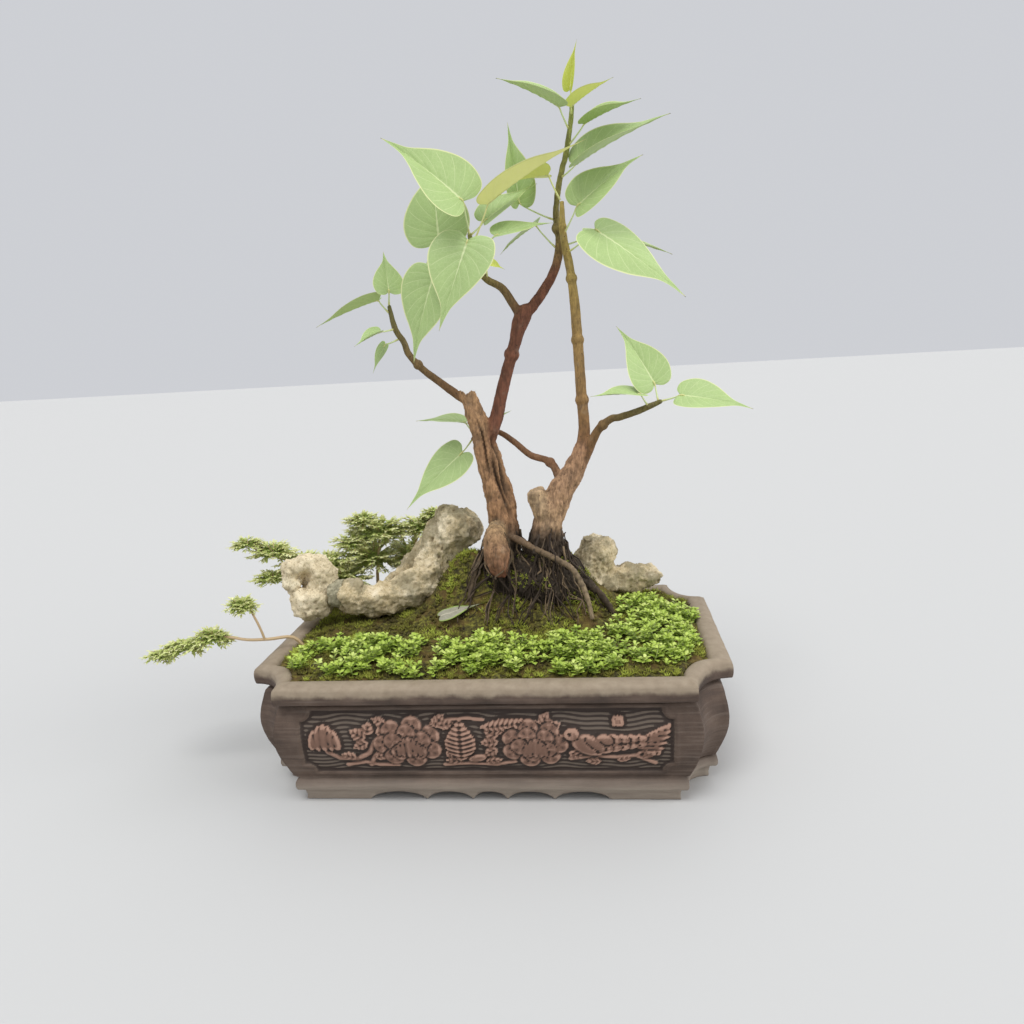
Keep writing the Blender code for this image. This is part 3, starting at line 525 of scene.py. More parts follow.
def longRelief(x, z):
    # the carving of the front and back panels, z from the panel's middle
    high = np.zeros_like(x)
    for base, angle, length, width in longLeaves:
        high = np.maximum(high, leafShape(x, z, base, angle, length, width))
    for points, radius in longStems:
        high = np.maximum(high, twigShape(x, z, points, radius))
    high = laid(high, leafShape(x, z, (-2, 9), 5, 34, 3.6) * 1.3)
    high = laid(high, cup(x, z, (-87, 3.5), 8.2, 2.9, 5, 0.5))
    high = laid(high, leafShape(x, z, (-12.5, -11), 90, 25, 8.4) * 1.6)
    high = laid(high, petal(x, z, (-4, -9.5), 12, 5.4, 2.6, 0.3, 0.6))
    high = laid(high, cup(x, z, (71, 12), 3.2, 1.6, 3, 0.4))
    high = laid(high, cup(x, z, (89, -5), 3.2, 1.9, 3, 0.4))
    high = laid(high, flower(x, z, (-41, 0), 18.5, 10))
    high = laid(high, flower(x, z, (27, -1), 17.5, 34))
    return laid(high, bird(x, z, (53, -1)))


def shortRelief(x, z):
    # the carving of the two end panels: one flower among leaves
    high = flower(x, z, (0, 0), 16, 10)
    for base, angle in (((-17, -4), 170), ((-15, 6), 150), ((17, 4), 12), ((15, -7), -20), ((-13, -9), 205),
                        ((14, 9), 38)):
        high = np.maximum(high, leafShape(x, z, base, angle, 16, 4.6))
    high = np.maximum(high, twigShape(x, z, [(-38, -10), (-24, -12), (-12, -9)], 1.6))
    return np.maximum(high, twigShape(x, z, [(38, -10), (26, -12), (12, -10)], 1.6))


def panelField(along, height, length, relief):
    # how far a side's face stands out of its belly, how much is sunk panel, how much is raised carving
    low = pot["foot"] + pot["bead"] + pot["panelInset"]
    high = potSize.z - pot["lip"] - pot["panelInset"]
    z = height - (low + high) / 2
    dx, dz = np.abs(along) - length / 2, np.abs(z) - (high - low) / 2
    notch = pot["panelCorner"] - np.hypot(dx, dz)
    outside = np.maximum(np.maximum(dx, dz), notch)
    sunk = np.clip(-outside / 0.9, 0, 1)
    carved = relief(along, z) * np.clip((-outside - 1.0) / 1.5, 0, 1)
    waves = 0.22 * np.sin(2 * np.pi * (z / 2.5 + 0.35 * np.sin(along / 9) + 0.2 * np.sin(along / 3.7)))
    ground = np.where(carved > 0, 0, waves)
    frameLine = 0.6 * np.exp(-((outside - 1.3) / 0.7) ** 2)
    return sunk * (carved * 1.6 + ground - pot["panelDepth"]) + frameLine, sunk, carved * sunk


def crestField(offset):
    # how far each place stands over its surroundings; it sets the painted shade and highlight of the carved
    # panels
    around = sum(np.roll(offset, (i, k), (0, 1)) for i in (-2, 0, 2) for k in (-2, 0, 2)) / 9
    return offset - around


def makePot():
    rings = []
    for height, inset, notch in potProfile():
        outline = potOutline(inset, notch)
        rings.append(np.column_stack([outline, np.full(len(outline), float(height))]))
    rings = np.array(rings)
    sunk = np.zeros(rings.shape[:2])
    raised = np.zeros(rings.shape[:2])
    offset = np.zeros(rings.shape[:2])
    x, y, z = rings[..., 0].copy(), rings[..., 1].copy(), rings[..., 2].copy()
    belly = (z > pot["foot"] + pot["bead"]) & (z < potSize.z - pot["lip"] - 1.5)
    belly &= np.arange(len(rings))[:, None] < len(rings) - 6
    flatX = np.abs(x) < potSize.x / 2 - pot["notch"][0] - 2
    flatY = np.abs(y) < potSize.y / 2 - pot["notch"][1] - 2
    for axis, along, across, flat, relief in ((1, x, y, flatX, longRelief), (0, y, x, flatY, shortRelief)):
        span = potSize.x if axis == 1 else potSize.y
        margin = pot["panelMargin"] + (0 if axis == 1 else 6)
        for sign in (-1, 1):
            chosen = belly & flat & (np.sign(across) == sign)
            chosen &= np.abs(across) > (potSize.y if axis == 1 else potSize.x) / 2 - 12
            mirror = -sign if axis == 1 else sign
            out, inPanel, carving = panelField(along[chosen] * mirror, z[chosen], span - 2 * margin, relief)
            part = rings[..., axis]
            part[chosen] += sign * out
            sunk[chosen] = inPanel
            raised[chosen] = carving
            offset[chosen] = out
    spanX = potSize.x - 2 * pot["footInset"] - 2 * pot["notch"][0]
    spanY = potSize.y - 2 * pot["footInset"] - 2 * pot["notch"][1]
    edgeBand = 26
    longArches, shortArches = (0.163, 0.324, 0.454, 0.55, 0.68, 0.833), (0.2, 0.4, 0.6, 0.8)
    lifts = np.where(np.abs(y) > potSize.y / 2 - edgeBand, archLift(x, spanX, longArches), 0)
    endLifts = np.where(np.abs(x) > potSize.x / 2 - edgeBand, archLift(y, spanY, shortArches), 0)
    lifts = np.maximum(lifts, endLifts)
    low = z < pot["foot"] - 0.6
    rings[..., 2][low] = np.maximum(z, lifts)[low]
    flat = rings.reshape(-1, 3)
    worn = noiseField(flat, 14, 3) * 0.22
    away = flat - np.array([0, 0, potSize.z / 2])
    away[:, 2] *= 0.15
    away /= np.linalg.norm(away, axis=1)[:, None]
    shrink = np.where((flat[:, 2] > 0.5) & (flat[:, 2] < potSize.z - 0.2), worn - 0.2, 0)[:, None]
    rings = (flat + away * shrink).reshape(rings.shape)
    closed = np.concatenate([rings, rings[:, :1]], axis=1)
    marks = {"raised": raised, "sunk": sunk, "crest": crestField(offset)}
    marks = {label: np.concatenate([part, part[:, :1]], axis=1) for label, part in marks.items()}
    bm = bmesh.new()
    for label in marks:
        bm.verts.layers.float.new(label)
    layers = {label: bm.verts.layers.float[label] for label in marks}
    made = bmesh.ops.create_grid(bm, x_segments=closed.shape[1] - 1, y_segments=closed.shape[0] - 1, size=1)
    for vertex in made["verts"]:
        column = round((vertex.co.x + 1) / 2 * (closed.shape[1] - 1))
        row = round((vertex.co.y + 1) / 2 * (closed.shape[0] - 1))
        vertex.co = closed[row][column]
        for label, layer in layers.items():
            vertex[layer] = marks[label][row][column]
    sealed(bm, bm.verts[:])
    return meshFrom(bm, "clay_pot")


def clayFinish():
    clay = Finish("firedClay", 0.75)
    body = clay.ramp(clay.noise(22, 6, 0.6), [(0.3, (0.052, 0.034, 0.024)), (0.5, (0.092, 0.060, 0.043)),
                                              (0.72, (0.148, 0.102, 0.075))])
    streaks = clay.noise((34, 34, 1.6), 5, 0.6)
    body = clay.mix(clay.clear(streaks, 0.5, 0.72) * 0.55, body, (0.165, 0.126, 0.100))
    body = clay.mix(clay.clear(streaks, 0.48, 0.3) * 0.5, body, (0.052, 0.036, 0.029))
    height = clay.height()
    # painted light: the top of the lip is painted paler, where the light falls on it
    lipLight = clay.clear(height + clay.noise(7, 5) * 5, potSize.z - 4.5, potSize.z - 1)
    lipLightTone = clay.mix(clay.noise(5, 5), (0.23, 0.175, 0.115), (0.44, 0.36, 0.26))
    body = clay.mix(lipLight * 0.85, body, lipLightTone)
    low = clay.clear(height, pot["foot"] + pot["bead"] + 2, pot["foot"]) * 0.8
    body = clay.mix(low, body, clay.mix(clay.noise((30, 30, 3), 5), (0.22, 0.175, 0.138),
                                        (0.52, 0.445, 0.36)))
    raised = clay.attribute("raised")
    sunk = clay.attribute("sunk")
    crest = clay.attribute("crest")
    # painted shade: the sunk panel is painted darker, darkest where it lies below its surroundings
    body = clay.mix(sunk * 0.8, body, clay.mix(clay.clear(crest, -0.1, 0.12), (0.045, 0.034, 0.027),
                                               (0.16, 0.125, 0.095)))
    terracotta = clay.mix(clay.noise(6, 4), (0.14, 0.070, 0.045), (0.25, 0.135, 0.092))
    body = clay.mix(clay.clear(raised, 0.15, 0.5) * 0.9, body, terracotta)
    # painted highlight: the crests of the raised carving are painted paler
    body = clay.mix(clay.clear(crest, 0.06, 0.4) * clay.clear(raised, 0.1, 0.4) * 0.75, body,
                    (0.48, 0.29, 0.21))
    # painted shade: the grooves inside the panel are painted near-black
    body = clay.mix(clay.clear(crest, 0.03, -0.22) * sunk * 0.94, body, (0.035, 0.021, 0.015))
    grain = clay.noise(0.9, 4, 0.7) * 0.6 + clay.noise((18, 18, 0.8), 4) * 0.4
    return clay.paint(body, 0.62 + clay.noise(12) * 0.3, grain, 0.35)


addPiece("clay_pot", makePot(), clayFinish(), ["pot"])
print("pot made")


bed = {"rim": 70.5, "dome": 5, "mound": 30, "middle": (12, 28), "reach": (58, 28), "moss": 4,
       "knoll": (-21, 24), "knollReach": 20, "knollHeight": 14,
       "step": 1.35, "tufts": 5600}


def ground(x, y):
    # height of the moss
    inside = (potSize.x / 2 - pot["lipWidth"], potSize.y / 2 - pot["lipWidth"])
    edge = max(abs(x) / inside[0], abs(y) / inside[1])
    across = abs(x - bed["middle"][0]) / bed["reach"][0]
    along = abs(y - bed["middle"][1]) / bed["reach"][1]
    mound = bed["mound"] * math.exp(-across ** 3.5 - along ** 2.2)
    away = math.hypot(x - bed["knoll"][0], y - bed["knoll"][1]) / bed["knollReach"]
    mound += bed["knollHeight"] * math.exp(-away ** 2)
    return bed["rim"] + (bed["dome"] + mound) * max(0.0, 1 - min(edge, 1) ** 4)


def inBed(x, y, margin=0.0):
    # whether a place is inside the pot's inner wall, hollow corners left out
    half = (potSize.x / 2 - pot["lipWidth"] - margin, potSize.y / 2 - pot["lipWidth"] - margin)
    if abs(x) > half[0] or abs(y) > half[1]:
        return False
    deep = [side * pot["innerNotch"] + margin for side in pot["notch"]]
    return math.hypot((half[0] - abs(x)) / deep[0], (half[1] - abs(y)) / deep[1]) > 1


def mossSurface():
    half = (potSize.x / 2 - pot["lipWidth"], potSize.y / 2 - pot["lipWidth"])
    columns, rows = int(2 * half[0] / bed["step"]), int(2 * half[1] / bed["step"])
    bm = bmesh.new()
    bmesh.ops.create_grid(bm, x_segments=columns, y_segments=rows, size=1)
    for vertex in bm.verts:
        vertex.co = (vertex.co.x * half[0], vertex.co.y * half[1], 0)
    outside = [face for face in bm.faces if not inBed(*face.calc_center_median()[:2], 0.3)]
    bmesh.ops.delete(bm, geom=outside, context="FACES")
    for vertex in bm.verts:
        x, y = vertex.co.x, vertex.co.y
        lumps = 1.6 * noise.noise(Vector((x, y, 3)) / 9) + 1.5 * noise.noise(Vector((x, y, 7)) / 3.0)
        cushions = 1.3 - 2.0 * noise.voronoi(Vector((x, y, 0)) / 4.6)[0][0]
        vertex.co.z = ground(x, y) - 0.8 + 0.7 * (lumps + cushions)
    made = bmesh.ops.extrude_face_region(bm, geom=bm.faces[:])["geom"]
    under = [item for item in made if isinstance(item, bmesh.types.BMVert)]
    for vertex in under:
        vertex.co.z = ground(vertex.co.x, vertex.co.y) - bed["moss"]
    bmesh.ops.recalc_face_normals(bm, faces=bm.faces)
    return meshFrom(bm, "moss")


def sprigTemplate(name, blades, height, width, lean):
    # a star of narrow upright blades, each a three-sided spike
    bm = bmesh.new()
    for k in range(blades):
        made = bmesh.ops.create_cone(bm, cap_ends=True, segments=3, radius1=width / 2, radius2=0,
                                     depth=height)
        turn = Matrix.Rotation(2 * math.pi * k / blades, 4, "Z") @ Matrix.Rotation(math.radians(lean), 4, "Y")
        bmesh.ops.transform(bm, matrix=turn @ Matrix.Translation((0, 0, height / 2)), verts=made["verts"])
    return meshFrom(bm, name)


def uprightPlace(x, y, z, size, turn, tilt=0.0, tiltTurn=0.0):
    return (Matrix.Translation((x, y, z)) @ Matrix.Rotation(tiltTurn, 4, "Z") @ Matrix.Rotation(tilt, 4, "X")
            @ Matrix.Rotation(turn - tiltTurn, 4, "Z") @ Matrix.Scale(size, 4))


def mossTufts(rootSkin):
    draw = random.Random(11)
    places, tints = [], []
    while len(places) < bed["tufts"]:
        x = draw.uniform(-potSize.x / 2, potSize.x / 2)
        y = draw.uniform(-potSize.y / 2, potSize.y / 2)
        if not inBed(x, y, 1.5):
            continue
        thick = noise.noise(Vector((x, y, 20)) / 14)
        if draw.random() > 0.55 + 0.9 * thick:
            continue
        z = ground(x, y) - 0.9
        places.append(uprightPlace(x, y, z, draw.uniform(0.6, 1.25), draw.uniform(0, 6.3),
                                   draw.uniform(0, 0.5), draw.uniform(0, 6.3)))
        tints.append(min(1, max(0, 0.35 + 0.8 * thick + draw.gauss(0, 0.16))))
    for point, normal in rootSkin:  # moss that has climbed the roots
        turn = normal.to_track_quat("Z", "Y").to_matrix().to_4x4()
        spin = Matrix.Rotation(draw.uniform(0, 6.3), 4, "Z")
        places.append(Matrix.Translation(point) @ turn @ spin @ Matrix.Scale(draw.uniform(0.5, 1.0), 4))
        tints.append(draw.uniform(0.3, 0.9))
    return copies("tufts", sprigTemplate("tuft", 4, 3.3, 1.05, 36), places, np.array(tints))


def mossFinish():
    moss = Finish("moss", 0.95)
    dark = moss.ramp(moss.noise(2.6, 6, 0.65), [(0.34, (0.016, 0.012, 0.004)), (0.5, (0.085, 0.075, 0.014)),
                                                (0.66, (0.26, 0.25, 0.035))])
    warm = moss.mix(moss.clear(moss.noise(16, 4), 0.45, 0.62) * 0.65, dark, (0.135, 0.078, 0.020))
    tint = moss.attribute("tint")
    blades = moss.ramp(tint, [(0.0, (0.060, 0.042, 0.012)), (0.35, (0.17, 0.155, 0.022)),
                              (0.7, (0.33, 0.36, 0.045)), (1.0, (0.52, 0.60, 0.09))])
    body = moss.mix(moss.clear(tint, 0.001, 0.01), warm, blades)
    return moss.paint(body, None, moss.noise(0.7, 3), 0.5)


tree = {"foot": Vector((16, 20, 92)), "voxel": 0.75, "steps": 6}

# limbs: x, y, z and radius from the tree's foot
limbs = {
    "left_trunk": [(-15, 0, -14, 15), (-13, 0, 6, 14), (-12, 0, 25, 11), (-10, 0, 41, 9),
                   (-13, 1, 63, 8.6), (-18, 2, 85, 7.6), (-23, 2, 107, 6), (-28, 2, 123, 5)],
    "left_shoot": [(-26, 2, 119, 3), (-33, 2, 122, 2.8), (-44, 0, 131, 2.4), (-54, -3, 140, 2.2),
                   (-61, -5, 149, 2), (-63, -6, 156, 1.9), (-67, -7, 163, 1.8), (-69, -7, 171, 1.6),
                   (-70, -7, 178, 1.2)],
    "centre_shoot": [(-19, 2, 84, 5), (-17, 2, 94, 4.8), (-11, 3, 109, 4.2), (-5, 4, 130, 3.8),
                     (2, 5, 151, 3.7), (8, 6, 168, 5.2), (14, 6, 173, 3.4), (22, 9, 183, 3),
                     (29, 11, 196, 2.7), (31, 13, 209, 2.2), (30, 14, 226, 1.9), (33, 13, 243, 1.7),
                     (38, 11, 260, 1.6), (41, 10, 275, 1.4), (42, 10, 284, 1.2)],
    "knot_shoot": [(7, 6, 167, 3), (3, 4, 174, 2.7), (-3, 0, 184, 2.4), (-11, -4, 189, 2.1),
                   (-16, -7, 196, 1.9), (-18, -9, 206, 1.6), (-19, -10, 215, 1.3)],
    "right_trunk": [(17, 0, -14, 19), (17, 0, 8, 16), (16, 0, 24, 12.5), (16, 0, 34, 10),
                    (19, 0, 46, 9), (27, 0, 62, 8), (36, 0, 76, 6.4), (41, 0, 88, 4.9)],
    "right_stub": [(18, -2, 42, 7), (13, -3, 56, 6.4), (11, -4, 63, 5.4)],
    "leader": [(40, 0, 84, 4.6), (42, 0, 99, 3.6), (41, 0, 124, 3.3), (40, 2, 154, 3.1),
               (39, 3, 175, 2.9), (37, 5, 194, 2.6), (34, 6, 212, 2.2), (34, 6, 231, 1.4)],
    "right_twig": [(37, 0, 76, 4), (42, -1, 82, 3.4), (50, -6, 98, 2.6), (58, -10, 105, 2.3),
                   (63, -12, 106, 2.2), (75, -16, 110, 2), (87, -20, 115, 1.4)],
    "cross_twig": [(27, 1, 64, 3), (21, 5, 78, 2.4), (8, 9, 83, 2.1), (-2, 13, 91, 2),
                   (-11, 16, 97, 1.8), (-22, 18, 99, 1.6), (-30, 20, 93, 1.3)],
    "root_mass": [(-12, 0, 0, 15), (2, 0, 4, 18), (18, -1, 2, 20), (30, -3, -2, 17), (38, -5, -6, 10)],
    "root_knob": [(-14, -7, 42, 4.5), (-14.5, -13, 38, 6.6), (-14, -17, 30, 7.6), (-13, -18, 21, 7),
                  (-12, -17, 13, 3.6)],
    "root_over": [(-8, -4, 36, 2.4), (1, -12, 33, 2.2), (12, -17, 28, 2), (24, -19, 22, 1.9),
                  (33, -22, 16, 1.8), (40, -27, 2, 1.6), (43, -30, -12, 1.4)],
    "root_left": [(-24, -3, 24, 2), (-29, -10, 14, 1.9), (-32, -17, 2, 1.6), (-34, -20, -14, 1.2)],
    "root_right": [(30, -4, 12, 3), (42, -12, 4, 2.4), (50, -14, -4, 2), (58, -16, -18, 1.5)],
    "root_back": [(16, 10, 14, 3), (16, 24, 4, 2.6), (18, 36, -6, 2), (18, 44, -20, 1.5)],
}

# bark of each limb: colour at its start, colour at its end, depth of its furrows
barks = {
    "left_trunk": ((0.36, 0.17, 0.080), (0.58, 0.34, 0.17), 1.0),
    "left_shoot": ((0.27, 0.125, 0.055), (0.20, 0.19, 0.06), 0.16),
    "centre_shoot": ((0.26, 0.10, 0.055), (0.36, 0.42, 0.10), 0.30),
    "knot_shoot": ((0.24, 0.11, 0.055), (0.34, 0.33, 0.09), 0.16),
    "right_trunk": ((0.66, 0.45, 0.26), (0.52, 0.29, 0.16), 0.9),
    "right_stub": ((0.62, 0.42, 0.24), (0.62, 0.43, 0.25), 0.8),
    "leader": ((0.36, 0.17, 0.08), (0.58, 0.44, 0.12), 0.2),
    "right_twig": ((0.30, 0.13, 0.06), (0.22, 0.20, 0.06), 0.16),
    "cross_twig": ((0.33, 0.16, 0.075), (0.24, 0.13, 0.06), 0.16),
    "root_mass": ((0.030, 0.020, 0.012), (0.045, 0.034, 0.018), 1.5),
    "root_knob": ((0.52, 0.36, 0.18), (0.26, 0.08, 0.045), 1.0),
    "root_over": ((0.16, 0.09, 0.045), (0.40, 0.30, 0.18), 0.15),
    "root_left": ((0.30, 0.21, 0.12), (0.10, 0.07, 0.04), 0.15),
    "root_right": ((0.09, 0.055, 0.03), (0.06, 0.04, 0.02), 0.2),
    "root_back": ((0.09, 0.055, 0.03), (0.06, 0.04, 0.02), 0.2),
}
soilLine = {"left_trunk": 40, "right_trunk": 37}  # heights over the foot below which bark is dark root


def limbPath(name, steps=tree["steps"]):
    return smoothPath([(*(tree["foot"] + Vector(row[:3])), row[3]) for row in limbs[name]], steps)


def limbField(points):
    # colour, furrow depth and share of root bark at every point, blended where limbs meet
    centres, sizes, colours, furrows, dark = [], [], [], [], []
    for name in limbs:
        first, last, furrow = barks[name]
        path = limbPath(name, 4)
        for k, row in enumerate(path):
            share = k / (len(path) - 1)
            if name == "centre_shoot":
                share = max(0, (share - 0.55) / 0.45) ** 0.7
            colour = np.array(first) * (1 - share) + np.array(last) * share
            over = row[2] - tree["foot"].z
            buried = max(0, min(1, (soilLine.get(name, -99) + 5 - over) / 10))
            if name == "root_knob":
                buried = max(0, min(1, (over - 40) / 3))
            centres.append(row[:3])
            sizes.append(row[3])
            colours.append(colour * (1 - buried) + np.array(barks["root_mass"][0]) * 1.8 * buried)
            furrows.append(furrow * (1 - buried) + 1.2 * buried)
            dark.append(1.0 if name.startswith("root_mass") else buried)
    centres, sizes = np.array(centres), np.array(sizes)
    colours, furrows, dark = np.array(colours), np.array(furrows), np.array(dark)
    outColour, outFurrow, outDark = [], [], []
    for chunk in np.array_split(points, max(1, len(points) // 4000)):
        away = np.linalg.norm(chunk[:, None] - centres[None], axis=2) / (sizes + 0.4)
        weight = (away + 0.05) ** -9.0
        weight /= weight.sum(1, keepdims=True)
        outColour.append(weight @ colours)
        outFurrow.append(weight @ furrows)
        outDark.append(weight @ dark)
    return np.concatenate(outColour), np.concatenate(outFurrow), np.concatenate(outDark)


# splits in the left trunk: angle round it, lower and upper end over its foot, and width in degrees
splitLines = ((-62, 44, 92, 9), (-36, 52, 104, 12), (-88, 70, 112, 6))


def trunkSplits(points):
    # long dark splits down the right of the left trunk's front, 0 to 1
    path = limbPath("left_trunk", 8)
    line = np.array([row[:3] for row in path])
    radii = np.array([row[3] for row in path])
    deep = np.zeros(len(points))
    over = points[:, 2] - tree["foot"].z
    near = np.where((over > 38) & (over < 118) & (points[:, 0] < tree["foot"].x + 2))[0]
    for i in near:
        k = int(np.argmin(np.abs(line[:, 2] - points[i, 2])))
        side = points[i] - line[k]
        if math.hypot(side[0], side[1]) > radii[k] * 1.5:
            continue
        angle = math.degrees(math.atan2(side[1], side[0]))
        for middle, low, high, wide in splitLines:
            if low < over[i] < high:
                drift = middle + 9 * math.sin(over[i] / 7 + middle)
                ends = min(1, (over[i] - low) / 12, (high - over[i]) / 12)
                deep[i] = max(deep[i], ends * math.exp(-((angle - drift) / wide) ** 2))
    return deep


def rootStrands(skin):
    # fine roots that hang from the trunks and run down over the root mass
    draw = random.Random(5)
    strands = []
    for k in range(150):
        turn = draw.uniform(-2.9, 0.3) if k % 4 else draw.uniform(-3.1, 3.1)
        onLeft = draw.random() < 0.45
        middle = Vector((-13, 0)) if onLeft else Vector((18, 0))
        start = draw.uniform(16, 40)
        spread = draw.uniform(0.9, 2.0)
        wander = draw.uniform(-0.5, 0.5)
        rows = []
        steps = 11
        for i in range(steps):
            share = i / (steps - 1)
            out = (11 + 18 * share ** 1.2) * spread / 1.4
            angle = turn + wander * share + 0.10 * math.sin(5 * share + k)
            place = tree["foot"] + Vector((middle.x + out * math.cos(angle), middle.y + out * math.sin(angle),
                                           start - (start + 12) * share))
            found, normal, _, _ = skin.find_nearest(place)
            lift = 0.4 + draw.uniform(0, 1.5)
            if share < 0.8:
                place = found + normal * lift
            place.z = max(place.z, ground(place.x, place.y) - 3)
            rows.append((*place, 1))
        thick = draw.choice((0.3, 0.35, 0.45, 0.6, 0.8))
        rows = [(*row[:3], thick * (1 - 0.5 * i / (steps - 1))) for i, row in enumerate(rows)]
        strands.append((smoothPath(rows, 2), draw.random()))
    return strands


def makeTree():
    bm = bmesh.new()
    for name in limbs:
        addTube(bm, limbPath(name), 20 if limbs[name][0][3] > 6 else 12)
    for name, share, size in (("leader", 0.22, 4.2), ("leader", 0.46, 3.9), ("leader", 0.7, 3.6),
                              ("centre_shoot", 0.68, 3.6), ("left_shoot", 0.5, 3.1),
                              ("right_twig", 0.45, 3.2),
                              ("cross_twig", 0.22, 3.3), ("centre_shoot", 0.3, 4.7), ("leader", 0.9, 2.6)):
        here, _, _ = placeOn(name, share)
        bmesh.ops.create_icosphere(bm, subdivisions=3, radius=size, matrix=Matrix.Translation(here))
    mesh = fused("tree", bm, tree["voxel"])
    points, normals = meshArrays(mesh)
    colours, furrows, dark = limbField(points)
    ridges = noiseField(points, (2.6, 2.6, 13), 4)
    flakes = noiseField(points + 40, (3.2, 3.2, 4.5), 4)
    swell = noiseField(points + 90, 9, 2)
    fibres = noiseField(points + 150, (1.7, 1.7, 20), 3)
    splits = trunkSplits(points)
    move = furrows * (0.55 * ridges + 0.5 * flakes) + 0.9 * swell * np.clip(furrows, 0, 1) * 0.8
    move += dark * fibres * 1.6 - 3.0 * splits
    ends = (points[:, 2] - tree["foot"].z > 118) & (points[:, 0] < tree["foot"].x - 20)
    ends &= points[:, 0] > tree["foot"].x - 34
    splinter = np.where(ends & (normals[:, 2] > 0.5), 1.6 * noiseField(points + 9, 1.6, 2), 0)
    setPoints(mesh, points + normals * move[:, None] + np.array([[0, 0, 1]]) * splinter[:, None])
    deep = np.clip(0.5 - 0.9 * (ridges + 0.6 * flakes) * np.clip(furrows * 2, 0, 1), 0, 1)
    specks = pitField(points + 7, 3.6)
    # painted shade: the bark is painted darker in its furrows and pits
    shade = (1.18 - 0.62 * deep - 0.45 * np.clip(0.24 - specks, 0, 0.2) * 5 * np.clip(furrows, 0, 1))
    painted = colours * shade[:, None]
    # painted shade: the splits are painted near-black inside
    splitShadeTone, splitShare = np.array([0.018, 0.009, 0.004]), splits[:, None]
    painted = painted * (1 - 0.88 * splitShare) + splitShadeTone * 0.88 * splitShare
    setColours(mesh, "bark", np.clip(painted, 0.004, 0.9))
    setValues(mesh, "dark", dark)
    skin = BVHTree.FromPolygons([Vector(point) for point in meshArrays(mesh)[0]],
                                [list(face.vertices) for face in mesh.polygons])
    fine = bmesh.new()
    tone = fine.verts.layers.float_color.new("bark")
    for path, pale in rootStrands(skin):
        known = len(fine.verts)
        addTube(fine, path, 5)
        fine.verts.ensure_lookup_table()
        colour = Vector((0.035, 0.022, 0.013)).lerp(Vector((0.30, 0.21, 0.12)), pale ** 4)
        for vertex in fine.verts[known:]:
            vertex[tone] = (*colour, 1)
    mossy = []
    draw = random.Random(8)
    points, normals = meshArrays(mesh)
    for i in range(0, len(points), 5):
        over = points[i, 2] - tree["foot"].z
        thick = noise.noise(Vector(points[i]) / 8 + Vector((5, 5, 5)))
        if dark[i] > 0.6 and -12 < over < 22 and thick > 0.12 and draw.random() < 0.5:
            mossy.append((Vector(points[i]), Vector(normals[i])))
    return joined("tree", [mesh, meshFrom(fine, "strands")]), mossy


def placeOn(name, share):
    # place, direction and radius at a share of a limb's length
    path = limbPath(name, 2)
    lengths = [(b - a).xyz.length for a, b in zip(path, path[1:])]
    left = share * sum(lengths)
    for start, end, length in zip(path, path[1:], lengths):
        if left <= length + 1e-6:
            break
        left -= length
    here = start.lerp(end, min(left / length, 1))
    return here.xyz, (end - start).xyz.normalized(), here[3]


def barkFinish():
    bark = Finish("bark", 0.85)
    base = bark.attribute("bark", "Color")
    fine = bark.noise((0.9, 0.9, 3.2), 5, 0.65)
    grey = bark.mix(bark.clear(bark.noise(7, 5), 0.55, 0.75) * 0.3, base, (0.46, 0.36, 0.25))
    streaked = bark.mix(1 - bark.clear(fine, 0.3, 0.62) * 0.75, grey,
                        bark.mix(0.5, grey, (0.02, 0.01, 0.005)))
    speck = bark.clear(bark.cells(2.2), 0.22, 0.10) * bark.clear(bark.noise(5), 0.45, 0.6)
    body = bark.mix(speck * 0.8, streaked, (0.03, 0.014, 0.008))
    return bark.paint(body, 0.75 + bark.noise(3) * 0.2, fine * 0.7 + bark.noise(0.5, 3) * 0.3, 0.4)


treeMesh, mossyRoots = makeTree()
addPiece("fig_tree", treeMesh, barkFinish(), ["tree"])
print("tree made")
addPiece("moss_bed", joined("moss", [mossSurface(), mossTufts(mossyRoots)]), mossFinish(), ["moss_carpet"])
print("moss made")


leafShapeSteps = {"rows": 44, "columns": 10, "thick": 0.30, "stalk": 0.52, "veins": 11}

